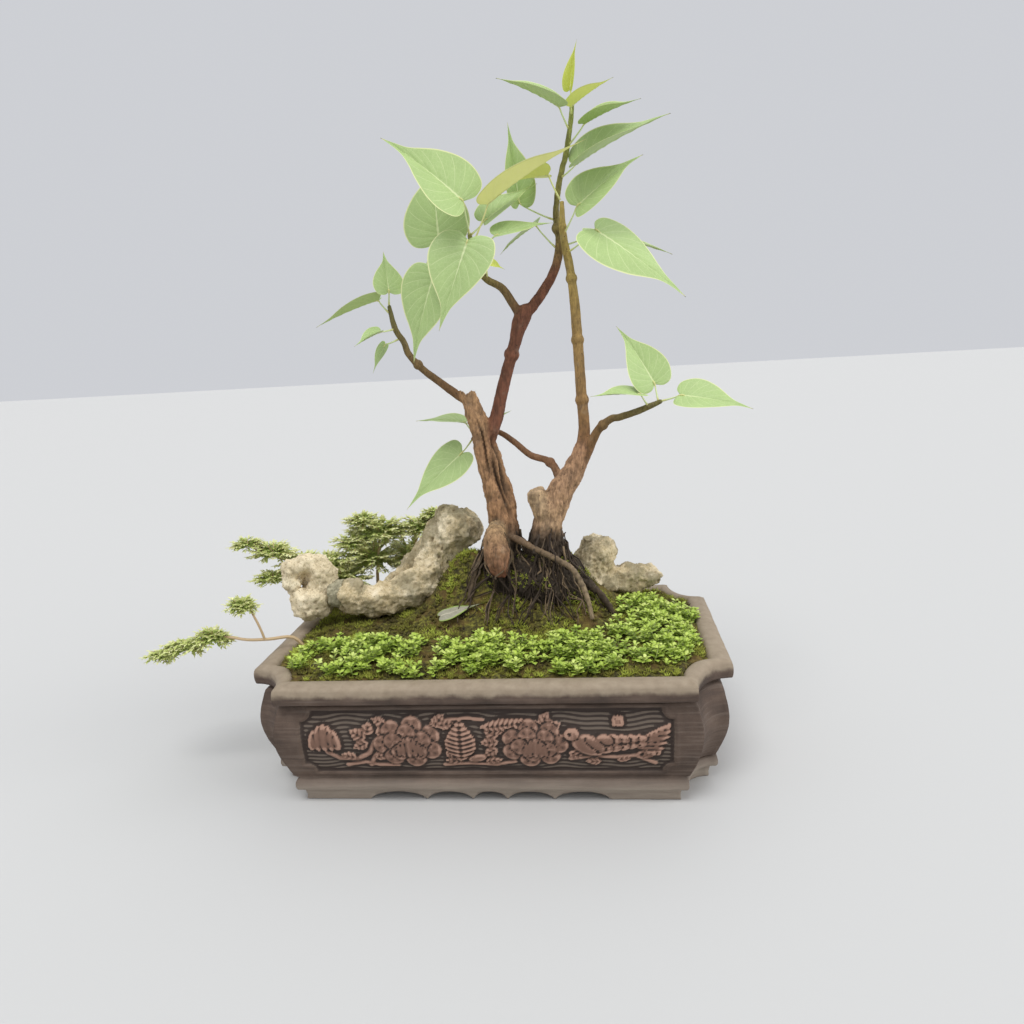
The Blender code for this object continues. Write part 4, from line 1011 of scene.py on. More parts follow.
# limb, share along it, stalk (heading, rise, length), blade (heading, rise, length),
# width, roll about the blade's axis, fold along the midrib; degrees and millimetres
leaves = {
    "leaf_top_bud": ("centre_shoot", 1.00, (240, 79, 5), (340, 83, 26), 10, 80, 40),
    "leaf_top_left": ("centre_shoot", 0.93, (231, 54, 12), (204, 28, 38), 24, -26, 28),
    "leaf_top_front": ("centre_shoot", 0.97, (272, 20, 6), (340, 30, 27), 14, 10, 38),
    "leaf_top_right": ("centre_shoot", 0.89, (331, 41, 13), (339, 20, 33), 20, 22, 26),
    "leaf_right_long": ("centre_shoot", 0.81, (320, 24, 12), (346, 27, 56), 34, 31, 22),
    "leaf_right_middle": ("leader", 0.87, (322, 53, 15), (343, 37, 44), 30, 58, 12),
    "leaf_right_big": ("leader", 0.80, (328, 29, 20), (342, -34, 64), 42, 30, -6),
    "leaf_right_behind": ("centre_shoot", 0.63, (20, 17, 18), (11, -7, 52), 32, 17, 8),
    "leaf_red_young": ("knot_shoot", 0.87, (340, 61, 22), (354, 34, 62), 22, 12, 50),
    "leaf_yellow_young": ("leader", 0.99, (210, 62, 14), (180, -1, 27), 20, 17, 20),
    "leaf_upright": ("centre_shoot", 0.70, (175, 28, 22), (159, 84, 48), 24, -50, 42),
    "leaf_inner_upper": ("knot_shoot", 0.97, (30, 40, 11), (12, 38, 37), 24, 33, 14),
    "leaf_inner_lower": ("knot_shoot", 0.82, (338, 26, 15), (4, 15, 33), 20, 30, 14),
    "leaf_inner_rear": ("centre_shoot", 0.62, (158, 48, 18), (149, -19, 32), 22, -24, 10),
    "leaf_left_high": ("knot_shoot", 0.94, (262, 63, 17), (198, 44, 54), 42, -59, 14),
    "leaf_left_round": ("knot_shoot", 0.74, (166, 32, 23), (118, 82, 50), 40, -34, 6),
    "leaf_front_hanging": ("knot_shoot", 0.66, (264, 35, 21), (219, -63, 52), 40, -35, 5),
    "leaf_left_hanging": ("knot_shoot", 0.54, (206, 7, 27), (198, -67, 52), 34, -54, 6),
    "leaf_left_shaded": ("knot_shoot", 0.60, (160, 13, 28), (150, -49, 26), 22, -60, 8),
    "leaf_small_up": ("left_shoot", 1.00, (294, 63, 6), (120, 84, 24), 19, 0, 10),
    "leaf_small_thin": ("left_shoot", 0.92, (191, 53, 8), (193, -14, 39), 17, 13, 24),
    "leaf_small_left": ("left_shoot", 0.82, (221, -8, 8), (217, -18, 18), 12, -17, 30),
    "leaf_small_low": ("left_shoot", 0.74, (188, -19, 8), (180, -55, 19), 9, -54, 10),
    "leaf_knot": ("knot_shoot", 0.52, (277, 48, 9), (331, -18, 13), 7, 32, 8),
    "leaf_cross_left": ("cross_twig", 0.95, (190, 55, 9), (203, 13, 31), 20, -13, 12),
    "leaf_cross_right": ("cross_twig", 0.85, (61, 29, 6), (14, 34, 15), 10, 13, 10),
    "leaf_low_hanging": ("cross_twig", 1.00, (226, -40, 9), (201, -36, 50), 30, -36, 6),
    "leaf_tip_left": ("right_twig", 0.88, (225, 50, 8), (204, 8, 30), 18, -17, 15),
    "leaf_tip_up": ("right_twig", 0.97, (120, 72, 9), (167, 63, 40), 27, -51, 8),
    "leaf_tip_right": ("right_twig", 1.00, (339, 16, 9), (345, -6, 40), 26, 34, 8),
}
youngLeaves = ["leaf_top_front", "leaf_yellow_young", "leaf_top_bud", "leaf_red_young", "leaf_knot"]

# half of the blade's edge for a blade 1 long and 2 wide, from the notch at the stalk to the tip
leafEdgeRows = [(0, 0), (0.34, -0.07), (0.78, -0.04), (1, 0.12), (0.96, 0.30), (0.70, 0.49),
                (0.38, 0.64), (0.17, 0.75), (0.07, 0.87), (0, 1)]
edgePath = smoothPath([(x, y, 0, 0) for x, y in leafEdgeRows], 8)


def leafEdge(share):
    at = share * (len(edgePath) - 1)
    low = min(int(at), len(edgePath) - 2)
    return edgePath[low].lerp(edgePath[low + 1], at - low)


def heading(turn, rise):
    flat = math.cos(math.radians(rise))
    return Vector((flat * math.cos(math.radians(turn)), flat * math.sin(math.radians(turn)),
                   math.sin(math.radians(rise))))


def bladePoint(share, across, length, width, fold, seed):
    # a place on the blade along +X with its face up; rows run along the side veins
    edge = leafEdge(share)
    along = share ** 2.6
    x = (along + (edge.y - along) * abs(across)) * length
    y = edge.x * across * width / 2
    lift = abs(y) * math.sin(math.radians(fold))
    droop = -0.12 * length * (x / length) ** 2
    size = min(1, width / 30)
    wave = size * 0.9 * math.sin(9 * share + seed) * abs(across) ** 3 * min(1, edge.x * 2)
    curved = share - 0.05 * across ** 2
    ridge = abs(math.cos(math.pi * curved * leafShapeSteps["veins"])) ** 6
    pucker = -0.3 * size * ridge * (1 - abs(across) ** 2)
    rib = -0.5 * size * math.exp(-(y / 1.1) ** 2)
    sway = 0.035 * length * math.sin(seed * 2.3) * (x / length) ** 3
    return Vector((x, -y * math.cos(math.radians(fold)) + sway, lift + droop + wave + pucker + rib))


def leafMesh(name, row, seed):
    limb, share, stalk, blade, width, roll, fold = row
    here, along, radius = placeOn(limb, share)
    out = heading(stalk[0], stalk[1])
    lean = math.acos(max(-1, min(1, out.dot(along))))
    start = (radius + 0.3) / max(math.sin(lean), 0.35) if share < 1 else radius + 0.9
    base = here + out * (start + stalk[2])
    turn = (Matrix.Translation(base) @ Matrix.Rotation(math.radians(blade[0]), 4, "Z")
            @ Matrix.Rotation(math.radians(-blade[1]), 4, "Y") @ Matrix.Rotation(math.radians(roll), 4, "X"))
    rows, columns = leafShapeSteps["rows"], leafShapeSteps["columns"]
    places, marks = [], []
    for i in range(rows + 1):
        down = i / rows
        line, tags = [], []
        for k in range(4 * columns + 1):
            fold4 = k % (4 * columns)
            upper = fold4 <= 2 * columns
            across = fold4 / columns - 1 if upper else 3 - fold4 / columns
            point = bladePoint(down, across, blade[2], width, fold, seed)
            thick = leafShapeSteps["thick"] * (1 - across ** 4) * (1 - down ** 6) + 0.08
            point.z += (thick if upper else -thick) / 2 * (0 if abs(across) == 1 else 1)
            line.append(turn @ point)
            tags.append((across, down, 0.0 if upper else 1.0))
        places.append(line)
        marks.append(tags)
    bm = bmesh.new()
    for label in ("across", "along", "under"):
        bm.verts.layers.float.new(label)
    layers = [bm.verts.layers.float[label] for label in ("across", "along", "under")]
    made = bmesh.ops.create_grid(bm, x_segments=4 * columns, y_segments=rows, size=1)["verts"]
    for vertex in made:
        k = round((vertex.co.x + 1) / 2 * 4 * columns)
        i = round((vertex.co.y + 1) / 2 * rows)
        vertex.co = places[i][k]
        for layer, value in zip(layers, marks[i][k]):
            vertex[layer] = value
    sealed(bm, bm.verts[:], 2e-3)
    for edge in bm.edges:
        edge.smooth = not all(abs(vertex[layers[0]]) > 0.999 for vertex in edge.verts)
    ahead = turn.to_3x3() @ Vector((1, 0, 0))
    rib = turn @ bladePoint(0.35, 0, blade[2], width, fold, seed)
    sag = Vector((0, 0, -0.03 * stalk[2]))
    path = [(*(here + out * (start * 0.6 if share < 1 else 0)), 1.25 * leafShapeSteps["stalk"]),
            (*(here + out * (start + 0.25 * stalk[2]) + sag), leafShapeSteps["stalk"]),
            (*(here + out * (start + 0.7 * stalk[2]) + sag), 0.85 * leafShapeSteps["stalk"]),
            (*(base - out * 0.8), 0.95 * leafShapeSteps["stalk"]), (*(base + ahead * 1.2), 0.6), (*rib, 0.25)]
    known = len(bm.verts)
    addTube(bm, smoothPath(path, 4), 8)
    bm.verts.ensure_lookup_table()
    for vertex in bm.verts[known:]:
        vertex[layers[1]] = -1.0
    return meshFrom(bm, name)


def leafFinish(name, face, veinTone, under, warm, warmth):
    # face and under are the two sides' colours; warm is the tone of the blade's middle
    leaf = Finish(name, 0.5)
    across = leaf.attribute("across")
    along = leaf.attribute("along")
    side = leaf.node("ShaderNodeMath", {"operation": "ABSOLUTE"}, {0: across})
    veinCount = leafShapeSteps["veins"]
    beat = leaf.node("ShaderNodeMath", {"operation": "COSINE"},
                     {0: (along - side * side * 0.05) * (2 * math.pi * veinCount)})
    fineBeat = leaf.node("ShaderNodeMath", {"operation": "COSINE"},
                         {0: along * (6 * math.pi * veinCount) + side * 14})
    ribs = leaf.clear(beat, 0.975, 0.998) * leaf.clear(side, 0.97, 0.85)
    midrib = leaf.clear(side, 0.05, 0.018)
    net = leaf.node("ShaderNodeTexVoronoi", {"feature": "DISTANCE_TO_EDGE"},
                    {"Vector": leaf.stretched((2.1, 2.1, 2.1)), "Scale": 1.0})
    mesh = leaf.clear(net, 0.07, 0.02) * 0.16 + leaf.clear(fineBeat, 0.9, 1.0) * 0.08
    veins = leaf.node("ShaderNodeMath", {"operation": "MAXIMUM"}, {0: ribs * 0.5, 1: midrib * 0.85})
    veins = leaf.node("ShaderNodeMath", {"operation": "MAXIMUM"}, {0: veins, 1: mesh})
    mottled = leaf.mix(leaf.noise(9, 4), face, tuple(0.78 * tone for tone in face))
    mottled = leaf.mix(leaf.clear(side, 0.6, 0.0) * warmth, mottled, warm)
    top = leaf.mix(veins, mottled, veinTone)
    bottom = leaf.mix(veins * 0.8, leaf.mix(leaf.noise(7), under, tuple(0.85 * tone for tone in under)),
                      veinTone)
    body = leaf.mix(leaf.attribute("under"), top, bottom)
    margin = leaf.clear(side, 0.95, 0.99) * 0.8
    body = leaf.mix(margin, body, (0.80, 0.80, 0.42))
    body = leaf.mix(leaf.clear(along, -0.2, -0.6), body, (0.62, 0.62, 0.26))
    return leaf.paint(body, 0.42 + leaf.noise(4) * 0.18, veins * 0.5 + leaf.noise(1.2, 3) * 0.2, 0.08)


# the young and reddish finishes paint their undersides brighter than their faces: painted light shining
# through the blade
leafFinishes = {
    "leaf": leafFinish("figLeaf", (0.42, 0.57, 0.215), (0.68, 0.76, 0.40), (0.42, 0.55, 0.20),
                       (0.42, 0.57, 0.215), 0),
    "young_leaf": leafFinish("youngBacklitFigLeaf", (0.60, 0.66, 0.09), (0.80, 0.82, 0.35), (0.80, 0.84, 0.22),
                             (0.62, 0.64, 0.09), 0.5),
    "red": leafFinish("reddishBacklitFigLeaf", (0.60, 0.64, 0.16), (0.80, 0.78, 0.36), (0.84, 0.84, 0.30),
                      (0.64, 0.46, 0.14), 0.3),
}
for seed, (name, row) in enumerate(leaves.items()):
    slot = "young_leaf" if name in youngLeaves else "leaf"
    look = leafFinishes["red" if name == "leaf_red_young" else slot]
    addPiece("fig_" + name, leafMesh(name, row, seed), look, [name])
print("leaves made")


# limbs of x, y, z and radius, z from the pot's base
stones = {
    "stone_head": [[(-119, 9, 78, 6), (-119, 9, 83, 12), (-119, 9, 91, 12.5), (-119, 10, 98, 8)],
                   [(-115, 10, 95, 8), (-111, 11, 105, 8), (-114, 11, 112, 7.5), (-121, 11, 114, 7),
                    (-129, 10, 112, 7), (-132, 9, 107, 6.5), (-127, 9, 100, 6)],
                   [(-120, 15, 96, 6), (-121, 15, 109, 6)]],
    "stone_ridge": [[(-101, 12, 94, 6), (-98, 12, 93, 11), (-93, 14, 88, 10), (-85, 15, 87, 10),
                     (-76, 17, 87, 11), (-64, 22, 89, 12), (-54, 26, 93, 12.5), (-45, 30, 101, 12),
                     (-40, 33, 113, 12.5), (-33, 36, 124, 14), (-25, 38, 131, 14.5), (-20, 39, 138, 9)],
                    [(-80, 42, 82, 7), (-66, 44, 91, 10), (-53, 44, 102, 12), (-44, 42, 112, 12),
                     (-34, 40, 122, 9)]],
    "stone_right": [[(61, 46, 78, 13), (61, 46, 94, 14), (62, 46, 107, 13.5), (62, 46, 117, 8)],
                    [(66, 46, 86, 12), (78, 47, 88, 10.5), (88, 48, 87, 9), (97, 49, 88, 7.5),
                     (103, 50, 85, 5)]],
}
stoneJoint = [(-108, 10, 94, 9.2), (-98, 11, 94, 9.2)]


def stoneMesh(name):
    bm = bmesh.new()
    for points in stones[name]:
        addTube(bm, smoothPath(points, 4), 24)
    mesh = fused(name, bm, 0.8)
    points, normals = meshArrays(mesh)
    lumps = noiseField(points, 9, 1) * 3.4
    facets = noiseField(points + 30, 17, 2) * 1.6
    rough = noiseField(points + 60, 3.0, 4) * 1.1
    pitDepth = np.clip(0.34 - pitField(points, 5.2), 0, 0.3)
    pits = -1.5 * pitDepth / 0.3 * (noiseField(points + 5, 16, 2) > -0.05)
    grains = -0.7 * np.clip(0.3 - pitField(points + 11, 2.1), 0, 0.3) / 0.3
    move = lumps + facets + rough + pits + grains
    setPoints(mesh, points + normals * move[:, None])
    # hollow is how deep each place is pitted; it sets painted shade in the pits
    setValues(mesh, "hollow", np.clip(-(pits + grains) / 1.6 - 0.3 * rough, 0, 1))
    return mesh


def stoneFinish(name, shaded):
    # shaded is how much painted shade the stone carries: it takes away the pale tone and spreads the dark
    # lichen patches
    stone = Finish(name, 0.9)
    body = stone.ramp(stone.noise(11, 6, 0.6), [(0.3, (0.47, 0.37, 0.20)), (0.5, (0.69, 0.57, 0.36)),
                                                (0.68, (0.86, 0.75, 0.54))])
    body = stone.mix(0.35 * (1 - shaded), body, (0.95, 0.84, 0.62))
    grain = stone.noise(1.4, 5, 0.7)
    body = stone.mix(stone.clear(grain, 0.48, 0.33) * 0.75, body, (0.25, 0.17, 0.07))
    body = stone.mix(stone.clear(grain, 0.56, 0.7) * 0.5, body, (0.88, 0.80, 0.64))
    lichen = stone.clear(stone.noise(15, 5, 0.65), 0.66 - 0.22 * shaded, 0.80 - 0.22 * shaded)
    body = stone.mix(lichen * 0.7, body, stone.mix(stone.noise(2), (0.12, 0.10, 0.05), (0.36, 0.31, 0.19)))
    low = stone.clear(stone.height() + stone.noise(9) * 22, 102, 84)
    body = stone.mix(low * 0.6, body, stone.mix(stone.noise(2.4), (0.10, 0.085, 0.03), (0.34, 0.27, 0.12)))
    # painted shade: the stone is painted darker in its pits and grains
    body = stone.mix(stone.attribute("hollow") * 0.8, body, (0.13, 0.085, 0.035))
    return stone.paint(body, None, grain * 0.6 + stone.noise(0.6, 3) * 0.4, 0.5)


# the head stone takes the copy without painted shade, the ridge and the right stone the shaded copy
paleStone = stoneFinish("paleLimestone", 0.0)
shadedStone = stoneFinish("shadedLimestone", 1.0)
for name in stones:
    addPiece("lime" + name, stoneMesh(name), paleStone if name == "stone_head" else shadedStone, [name])

jointBody = bmesh.new()
addTube(jointBody, smoothPath(stoneJoint, 6), 24)
jointMesh = fused("joint", jointBody, 0.7)
jointPoints, jointNormals = meshArrays(jointMesh)
jointMove = noiseField(jointPoints, 4, 3) * 0.8 - 0.5
setPoints(jointMesh, jointPoints + jointNormals * jointMove[:, None])
cement = Finish("cement", 0.95)
cementTone = cement.ramp(cement.noise(2.4, 5, 0.7), [(0.35, (0.20, 0.18, 0.115)), (0.65, (0.46, 0.42, 0.29))])
addPiece("cement_joint", jointMesh, cement.paint(cementTone, None, cement.noise(0.8), 0.4), ["stone_joint"])
print("stones made")


def tinyLeaf(name, length, width, rise, widest):
    # a closed leaf of few faces, its stalk at the origin and its tip along +X
    bm = bmesh.new()
    made = bmesh.ops.create_grid(bm, x_segments=3, y_segments=2, size=1)["verts"]
    for vertex in made:
        share = (vertex.co.x + 1) / 2
        reach = math.sin(math.pi * share ** widest) ** 0.8 if 0 < share < 1 else 0
        vertex.co = (share * length, vertex.co.y * reach * width / 2,
                     rise * math.sin(math.pi * share) + abs(vertex.co.y) * 0.12 * width * reach)
    bmesh.ops.remove_doubles(bm, verts=bm.verts[:], dist=1e-4)
    made = bmesh.ops.extrude_face_region(bm, geom=bm.faces[:])["geom"]
    lower = [item for item in made if isinstance(item, bmesh.types.BMVert)]
    bmesh.ops.translate(bm, vec=(0, 0, -0.16), verts=lower)
    bmesh.ops.recalc_face_normals(bm, faces=bm.faces)
    return meshFrom(bm, name)


def aimed(point, direction, roll, size):
    # a place whose +X looks along direction and whose +Z stays as upright as it can
    ahead = direction.normalized()
    side = Vector((0, 0, 1)).cross(ahead)
    side = side.normalized() if side.length > 0.05 else Vector((0, 1, 0))
    up = ahead.cross(side)
    turn = Matrix((ahead, side, up)).transposed().to_4x4()
    return Matrix.Translation(point) @ turn @ Matrix.Rotation(roll, 4, "X") @ Matrix.Scale(size, 4)


shrub = {"leaf": (4.3, 2.1), "spacing": 1.25, "twigs": 62}

# branches: stems, and the leafy clouds on them (x, y, z and radii)
shrubBranches = {
    "shrub_trailing": ([[(-114, -22, 68, 1.5), (-121, -25, 78, 1.4), (-134, -30, 79, 1.3),
                         (-146, -33, 80, 1.2), (-158, -33, 82, 1.1), (-166, -33, 81, 1)],
                        [(-136, -31, 79, 1), (-138, -32, 88, 1), (-142, -32, 98, 0.9)]],
                       [(-168, -33, 81, 13, 7, 5), (-186, -34, 76, 13, 6, 4.5), (-202, -35, 71, 11, 4, 3.5),
                        (-147, -32, 101, 9, 6, 4.5)]),
    "shrub_left": ([[(-106, 32, 68, 1.6), (-110, 33, 90, 1.4), (-122, 33, 103, 1.2),
                     (-142, 31, 111, 1), (-156, 30, 117, 0.9), (-170, 30, 123, 0.8)],
                    [(-124, 33, 103, 1), (-140, 29, 101, 0.9), (-150, 28, 101, 0.8)]],
                   [(-132, 32, 109, 12, 8, 6), (-151, 31, 117, 12, 7, 5.5), (-168, 30, 123, 7.5, 5, 3.5),
                    (-151, 28, 100, 12, 6, 4)]),
    "shrub_low": ([[(-100, 44, 68, 1.6), (-104, 48, 84, 1.4), (-108, 50, 94, 1.2)]],
                  [(-112, 51, 92, 14, 9, 10), (-120, 50, 103, 12, 7, 6)]),
    "shrub_crown": ([[(-90, 58, 68, 1.8), (-90, 60, 92, 1.5), (-87, 60, 112, 1.2)]],
                    [(-93, 61, 104, 15, 9, 12), (-85, 60, 122, 17, 9, 8), (-97, 61, 129, 10, 6, 5),
                     (-105, 60, 114, 10, 7, 6)]),
    "shrub_right": ([[(-76, 62, 68, 1.6), (-73, 64, 92, 1.4), (-66, 64, 106, 1.2), (-57, 62, 122, 1)]],
                    [(-66, 64, 104, 12, 8, 11), (-57, 62, 124, 12, 7, 7), (-46, 61, 132, 8, 5, 4)]),
}


def shrubMesh(name, seed):
    draw = random.Random(seed)
    stems, clouds = shrubBranches[name]
    wood = bmesh.new()
    stemPoints = []
    for points in stems:
        path = smoothPath([(*row[:3], row[3] * 0.75) for row in points], 4)
        addTube(wood, path, 7)
        stemPoints += [row.xyz for row in path]
    places, tints = [], []
    for x, y, z, *radii in clouds:
        middle = Vector((x, y, z))
        trailing = name == "shrub_trailing" and radii[0] > 10
        base = min(stemPoints, key=lambda point: (point - middle).length)
        spine = smoothPath([(*base, 0.7), (*(base.lerp(middle, 0.6) + Vector((0, 0, 1))), 0.6),
                            (*middle, 0.5)], 3)
        addTube(wood, spine, 6)
        stemPoints.append(middle)
        twigs = int(shrub["twigs"] * (0.8 if trailing else 1) * (radii[0] * radii[2] / 60) ** 0.5) + 4
        for _ in range(twigs):
            turn = draw.uniform(-math.pi, math.pi)
            high = draw.uniform(-0.85, 1)
            flat = math.sqrt(max(0, 1 - high ** 2)) * draw.uniform(0.6, 1.08)
            wide = 1.08 if name == "shrub_trailing" else 1.55
            end = middle + Vector((radii[0] * wide * flat * math.cos(turn),
                                   radii[1] * wide * flat * math.sin(turn),
                                   radii[2] * 1.15 * high))
            start = middle.lerp(end, draw.uniform(0.0, 0.3)) + Vector((0, 0, -0.18 * radii[2]))
            if trailing:
                start = base.lerp(middle, draw.uniform(0.1, 1.1))
            bend = start.lerp(end, 0.5) + Vector((0, 0, draw.uniform(0.4, 1.6)))
            path = smoothPath([(*start, 0.32), (*bend, 0.28), (*end, 0.2)], 3)
            addTube(wood, path, 4)
            length = (end - start).length
            count = max(4, int(length / shrub["spacing"]))
            for k in range(count):
                share = (k + 0.5) / count
                row = path[min(int(share * (len(path) - 1)), len(path) - 2)]
                after = path[min(int(share * (len(path) - 1)) + 1, len(path) - 1)]
                point = row.xyz.lerp(after.xyz, share * (len(path) - 1) % 1)
                ahead = (after.xyz - row.xyz).normalized()
                for side in (-1, 1):
                    out = Vector((-ahead.y, ahead.x, 0)).normalized() * side
                    aim = ahead * draw.uniform(0.35, 0.9) + out + Vector((0, 0, draw.uniform(-0.35, 0.3)))
                    size = draw.uniform(0.6, 1.1) * (1.15 - 0.45 * share)
                    places.append(aimed(point, aim, side * draw.uniform(-0.5, 0.5), size))
                    # painted shade: leaves near a cloud's middle get a darker tint; leaves further along a
                    # twig are paler
                    inner = (point - middle).length / max(radii[0], 1)
                    tints.append(min(1, max(0, 0.24 + 0.4 * share + 0.3 * inner + draw.gauss(0, 0.12))))
            places.append(aimed(end, end - start + Vector((0, 0, 0.4)), 0, 0.7))
            tints.append(0.95)
    woodMesh = meshFrom(wood, "wood")
    setValues(woodMesh, "tint", np.full(len(woodMesh.vertices), -1.0))
    leafy = copies("sprays", tinyLeaf("sprayLeaf", *shrub["leaf"], 0.25, 0.85), places, np.array(tints))
    return joined(name, [leafy, woodMesh])


def tintedFinish(name, stops, stem, roughness):
    # leaves coloured by their own tint, stems by one tone
    green = Finish(name, roughness)
    tint = green.attribute("tint")
    body = green.mix(green.noise(1.6, 3) * 0.3, green.ramp(tint, stops), (0.06, 0.10, 0.012))
    body = green.mix(green.clear(tint, -0.2, -0.6), body, stem)
    return green.paint(body, None, green.noise(0.8, 2), 0.12)


sprayFinish = tintedFinish("shrubLeaf", [(0.0, (0.16, 0.23, 0.05)), (0.35, (0.40, 0.50, 0.11)),
                                         (0.7, (0.64, 0.70, 0.24)), (1.0, (0.86, 0.86, 0.46))],
                           (0.50, 0.36, 0.20), 0.55)
for seed, name in enumerate(shrubBranches):
    addPiece("leafy_" + name, shrubMesh(name, 40 + seed), sprayFinish, [name], smooth=False)
print("shrub made")

# patches: middle and half sizes
cover = {"leaf": (5.4, 3.3), "perPatch": 125, "height": (2.0, 9.0), "spread": 1.12, "stem": (0.45, 0.4, 0.3),
         "bareSize": 11, "bareBelow": -0.24}
coverPatches = {
    "cover_front_left": (-84, -46, 29, 22),
    "cover_front_inner_left": (-36, -52, 23, 18),
    "cover_front_middle": (6, -50, 24, 20),
    "cover_front_right": (51, -50, 25, 20),
    "cover_right_corner": (95, -30, 23, 30),
    "cover_right_back": (99, 17, 23, 19),
    "cover_back": (-12, 65, 24, 6),
}


def coverMesh(name, seed):
    draw = random.Random(seed)
    x, y, reachX, reachY = coverPatches[name]
    count = int(cover["perPatch"] * math.sqrt(reachX * reachY / 400))
    stems = bmesh.new()
    places, tints = [], []
    made = 0
    while made < count:
        turn, away = draw.uniform(-math.pi, math.pi), math.sqrt(draw.random()) * cover["spread"]
        px, py = x + reachX * away * math.cos(turn), y + reachY * away * math.sin(turn)
        made += 1
        if not inBed(px, py, -1.0):
            continue
        if noise.noise(Vector((px, py, 50)) / cover["bareSize"]) < cover["bareBelow"]:
            continue
        tall = draw.uniform(*cover["height"]) * (1.15 - 0.35 * away)
        lean = Vector((draw.gauss(0, 0.35), draw.gauss(0, 0.35) - (0.5 if py < -60 else 0), 1))
        foot = Vector((px, py, ground(px, py) - 0.8))
        top = foot + lean * tall
        thick, middle, thin = cover["stem"]
        addTube(stems, [(*foot, thick), (*foot.lerp(top, 0.5), middle), (*top, thin)], 4)
        levels = 2 + int(tall / 2.2)
        spin = draw.uniform(0, math.pi)
        shade = draw.gauss(0.55, 0.14)
        for k in range(levels):
            share = (k + 1) / levels
            point = foot.lerp(top, share)
            ring = 2 if k < levels - 1 else 4
            for j in range(ring):
                angle = spin + k * math.pi / 2 + j * 2 * math.pi / ring + draw.uniform(-0.2, 0.2)
                rise = draw.uniform(-0.05, 0.45) + 0.35 * share
                size = draw.uniform(0.65, 1.05) * (1.1 - 0.4 * share if ring == 2 else 0.72)
                places.append(aimed(point, Vector((math.cos(angle), math.sin(angle), rise)),
                                    draw.uniform(-0.3, 0.3), size))
                tints.append(min(1, max(0, shade + 0.3 * (share - 0.5) + draw.gauss(0, 0.08))))
    stemMesh = meshFrom(stems, "stems")
    setValues(stemMesh, "tint", np.full(len(stemMesh.vertices), -1.0))
    leafy = copies("rosettes", tinyLeaf("coverLeaf", *cover["leaf"], 0.35, 1.5), places, np.array(tints))
    return joined(name, [leafy, stemMesh])


coverFinish = tintedFinish("coverLeaf", [(0.0, (0.14, 0.23, 0.02)), (0.4, (0.36, 0.50, 0.055)),
                                         (0.75, (0.55, 0.70, 0.11)), (1.0, (0.72, 0.82, 0.24))],
                           (0.30, 0.36, 0.10), 0.45)
for seed, name in enumerate(coverPatches):
    addPiece("leafy_" + name, coverMesh(name, 70 + seed), coverFinish, [name])
print("ground cover made")


fallenLeaf = {"place": (-33, -9), "heading": 15, "length": 26, "width": 10, "fold": -8,
              "step": (22, 6), "run": 22.8, "lift": 4.8, "roll": 28, "thick": 0.12}


def fallenMesh():
    x, y = fallenLeaf["place"]
    low, high = ground(x, y), ground(x + fallenLeaf["step"][0], y + fallenLeaf["step"][1])
    tilt = math.atan2(high - low, fallenLeaf["run"])
    turn = (Matrix.Translation((x, y, low + fallenLeaf["lift"]))
            @ Matrix.Rotation(math.radians(fallenLeaf["heading"]), 4, "Z")
            @ Matrix.Rotation(-tilt, 4, "Y") @ Matrix.Rotation(math.radians(fallenLeaf["roll"]), 4, "X"))
    rows, columns = 26, 8
    bm = bmesh.new()
    layer = bm.verts.layers.float.new("across")
    made = bmesh.ops.create_grid(bm, x_segments=4 * columns, y_segments=rows, size=1)["verts"]
    for vertex in made:
        k = round((vertex.co.x + 1) / 2 * 4 * columns) % (4 * columns)
        share = round((vertex.co.y + 1) / 2 * rows) / rows
        upper = k <= 2 * columns
        across = k / columns - 1 if upper else 3 - k / columns
        point = bladePoint(share, across, fallenLeaf["length"], fallenLeaf["width"], fallenLeaf["fold"], 3)
        crumple = 0.5 * noise.noise(point / 4)
        point.z += crumple + (fallenLeaf["thick"] if upper else -fallenLeaf["thick"]) * (1 - across ** 4)
        vertex.co = turn @ point
        vertex[layer] = across
    sealed(bm, bm.verts[:], 2e-3)
    return meshFrom(bm, "fallen")


dry = Finish("dryLeaf", 0.7)
drySide = dry.node("ShaderNodeMath", {"operation": "ABSOLUTE"}, {0: dry.attribute("across")})
dryTone = dry.mix(dry.noise(2.2, 5, 0.7), (0.16, 0.15, 0.10), (0.46, 0.44, 0.34))
dryTone = dry.mix(dry.clear(drySide, 0.12, 0.02), dryTone, (0.50, 0.46, 0.34))
dryTone = dry.mix(dry.clear(drySide, 0.72, 0.95), dryTone, (0.30, 0.42, 0.08))
addPiece("dry_fallen_leaf", fallenMesh(), dry.paint(dryTone, None, dry.noise(1.2), 0.2), ["fallen_leaf"])

earth = Finish("earth", 0.97)
earthTone = earth.ramp(earth.noise(3, 6, 0.7), [(0.35, (0.018, 0.012, 0.008)), (0.65, (0.075, 0.050, 0.030))])
earthMaterial = earth.paint(earthTone, None, earth.noise(1.2, 4), 0.6)
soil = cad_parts["soil"]
soil.data.materials.clear()
soil.data.materials.append(earthMaterial)
print("soil dressed")


studio = {"floor": 6.0, "pale": (0.56, 0.56, 0.55), "lens": 28.125, "sensor": 36,
          "eye": (64, -466, 244), "heading": 6.2, "pitch": 11.9, "roll": -3.3,
          "sky": (0.93, 0.95, 1.0, 1), "skyStrength": 0.66}


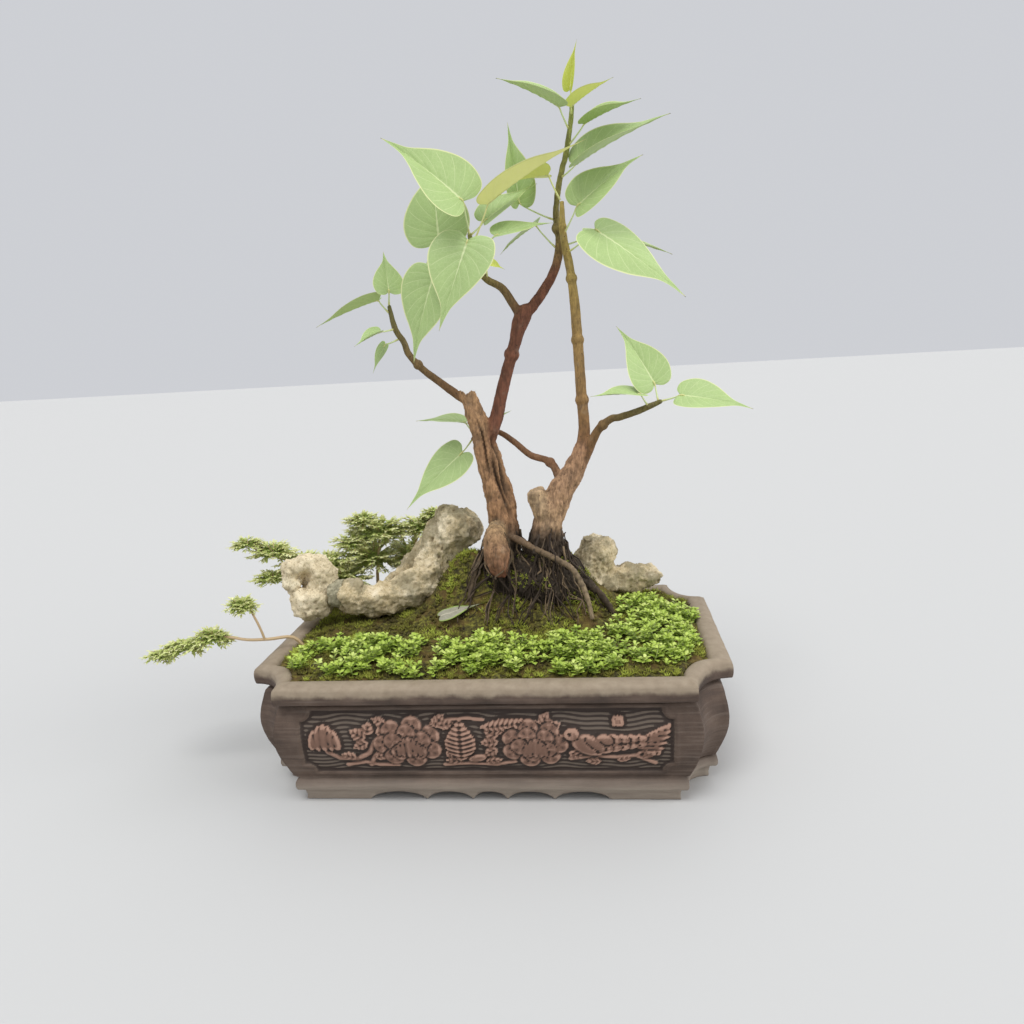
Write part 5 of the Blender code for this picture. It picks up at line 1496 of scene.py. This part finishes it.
def addFloor():
    bm = bmesh.new()
    bmesh.ops.create_grid(bm, x_segments=1, y_segments=1, size=studio["floor"])
    floor = bpy.data.objects.new("floor", meshFrom(bm, "floor"))
    bpy.context.scene.collection.objects.link(floor)
    paper = Finish("paleFloor", 0.9)
    floor.data.materials.append(paper.paint(studio["pale"]))


def addLight(name, place, spread, strength):
    # even light from far off, softened over spread degrees
    lamp = bpy.data.lights.new(name, "SUN")
    lamp.angle = math.radians(spread)
    lamp.energy = strength
    light = bpy.data.objects.new(name, lamp)
    light.matrix_world = Vector(place).to_track_quat("Z", "Y").to_matrix().to_4x4()
    bpy.context.scene.collection.objects.link(light)


def addWorld():
    world = bpy.data.worlds.new("studio")
    world.use_nodes = True
    background = world.node_tree.nodes["Background"]
    background.inputs["Color"].default_value = studio["sky"]
    background.inputs["Strength"].default_value = studio["skyStrength"]
    bpy.context.scene.world = world


def addCamera():
    turn, pitch, roll = (math.radians(studio[key]) for key in ("heading", "pitch", "roll"))
    ahead = Vector((-math.sin(turn) * math.cos(pitch), math.cos(turn) * math.cos(pitch), -math.sin(pitch)))
    level = Vector((math.cos(turn), math.sin(turn), 0))
    above = level.cross(ahead)
    right = level * math.cos(roll) + above * math.sin(roll)
    up = above * math.cos(roll) - level * math.sin(roll)
    lens = bpy.data.cameras.new("camera")
    lens.lens = studio["lens"]
    lens.sensor_width = studio["sensor"]
    lens.clip_start = 0.01
    camera = bpy.data.objects.new("camera", lens)
    place = toWorld @ Vector(studio["eye"])
    camera.matrix_world = Matrix.Translation(place) @ Matrix((right, up, -ahead)).transposed().to_4x4()
    bpy.context.scene.collection.objects.link(camera)
    bpy.context.scene.camera = camera


addFloor()
for lightRow in (("key", (-0.3, -0.8, 1.9), 32, 1.6), ("fill", (1.9, -0.4, 0.9), 50, 1.2),
                 ("back", (0.3, 1.5, 1.5), 50, 0.3)):
    addLight(*lightRow)
addWorld()
addCamera()
bpy.context.scene.view_settings.view_transform = "Standard"
print("studio set")
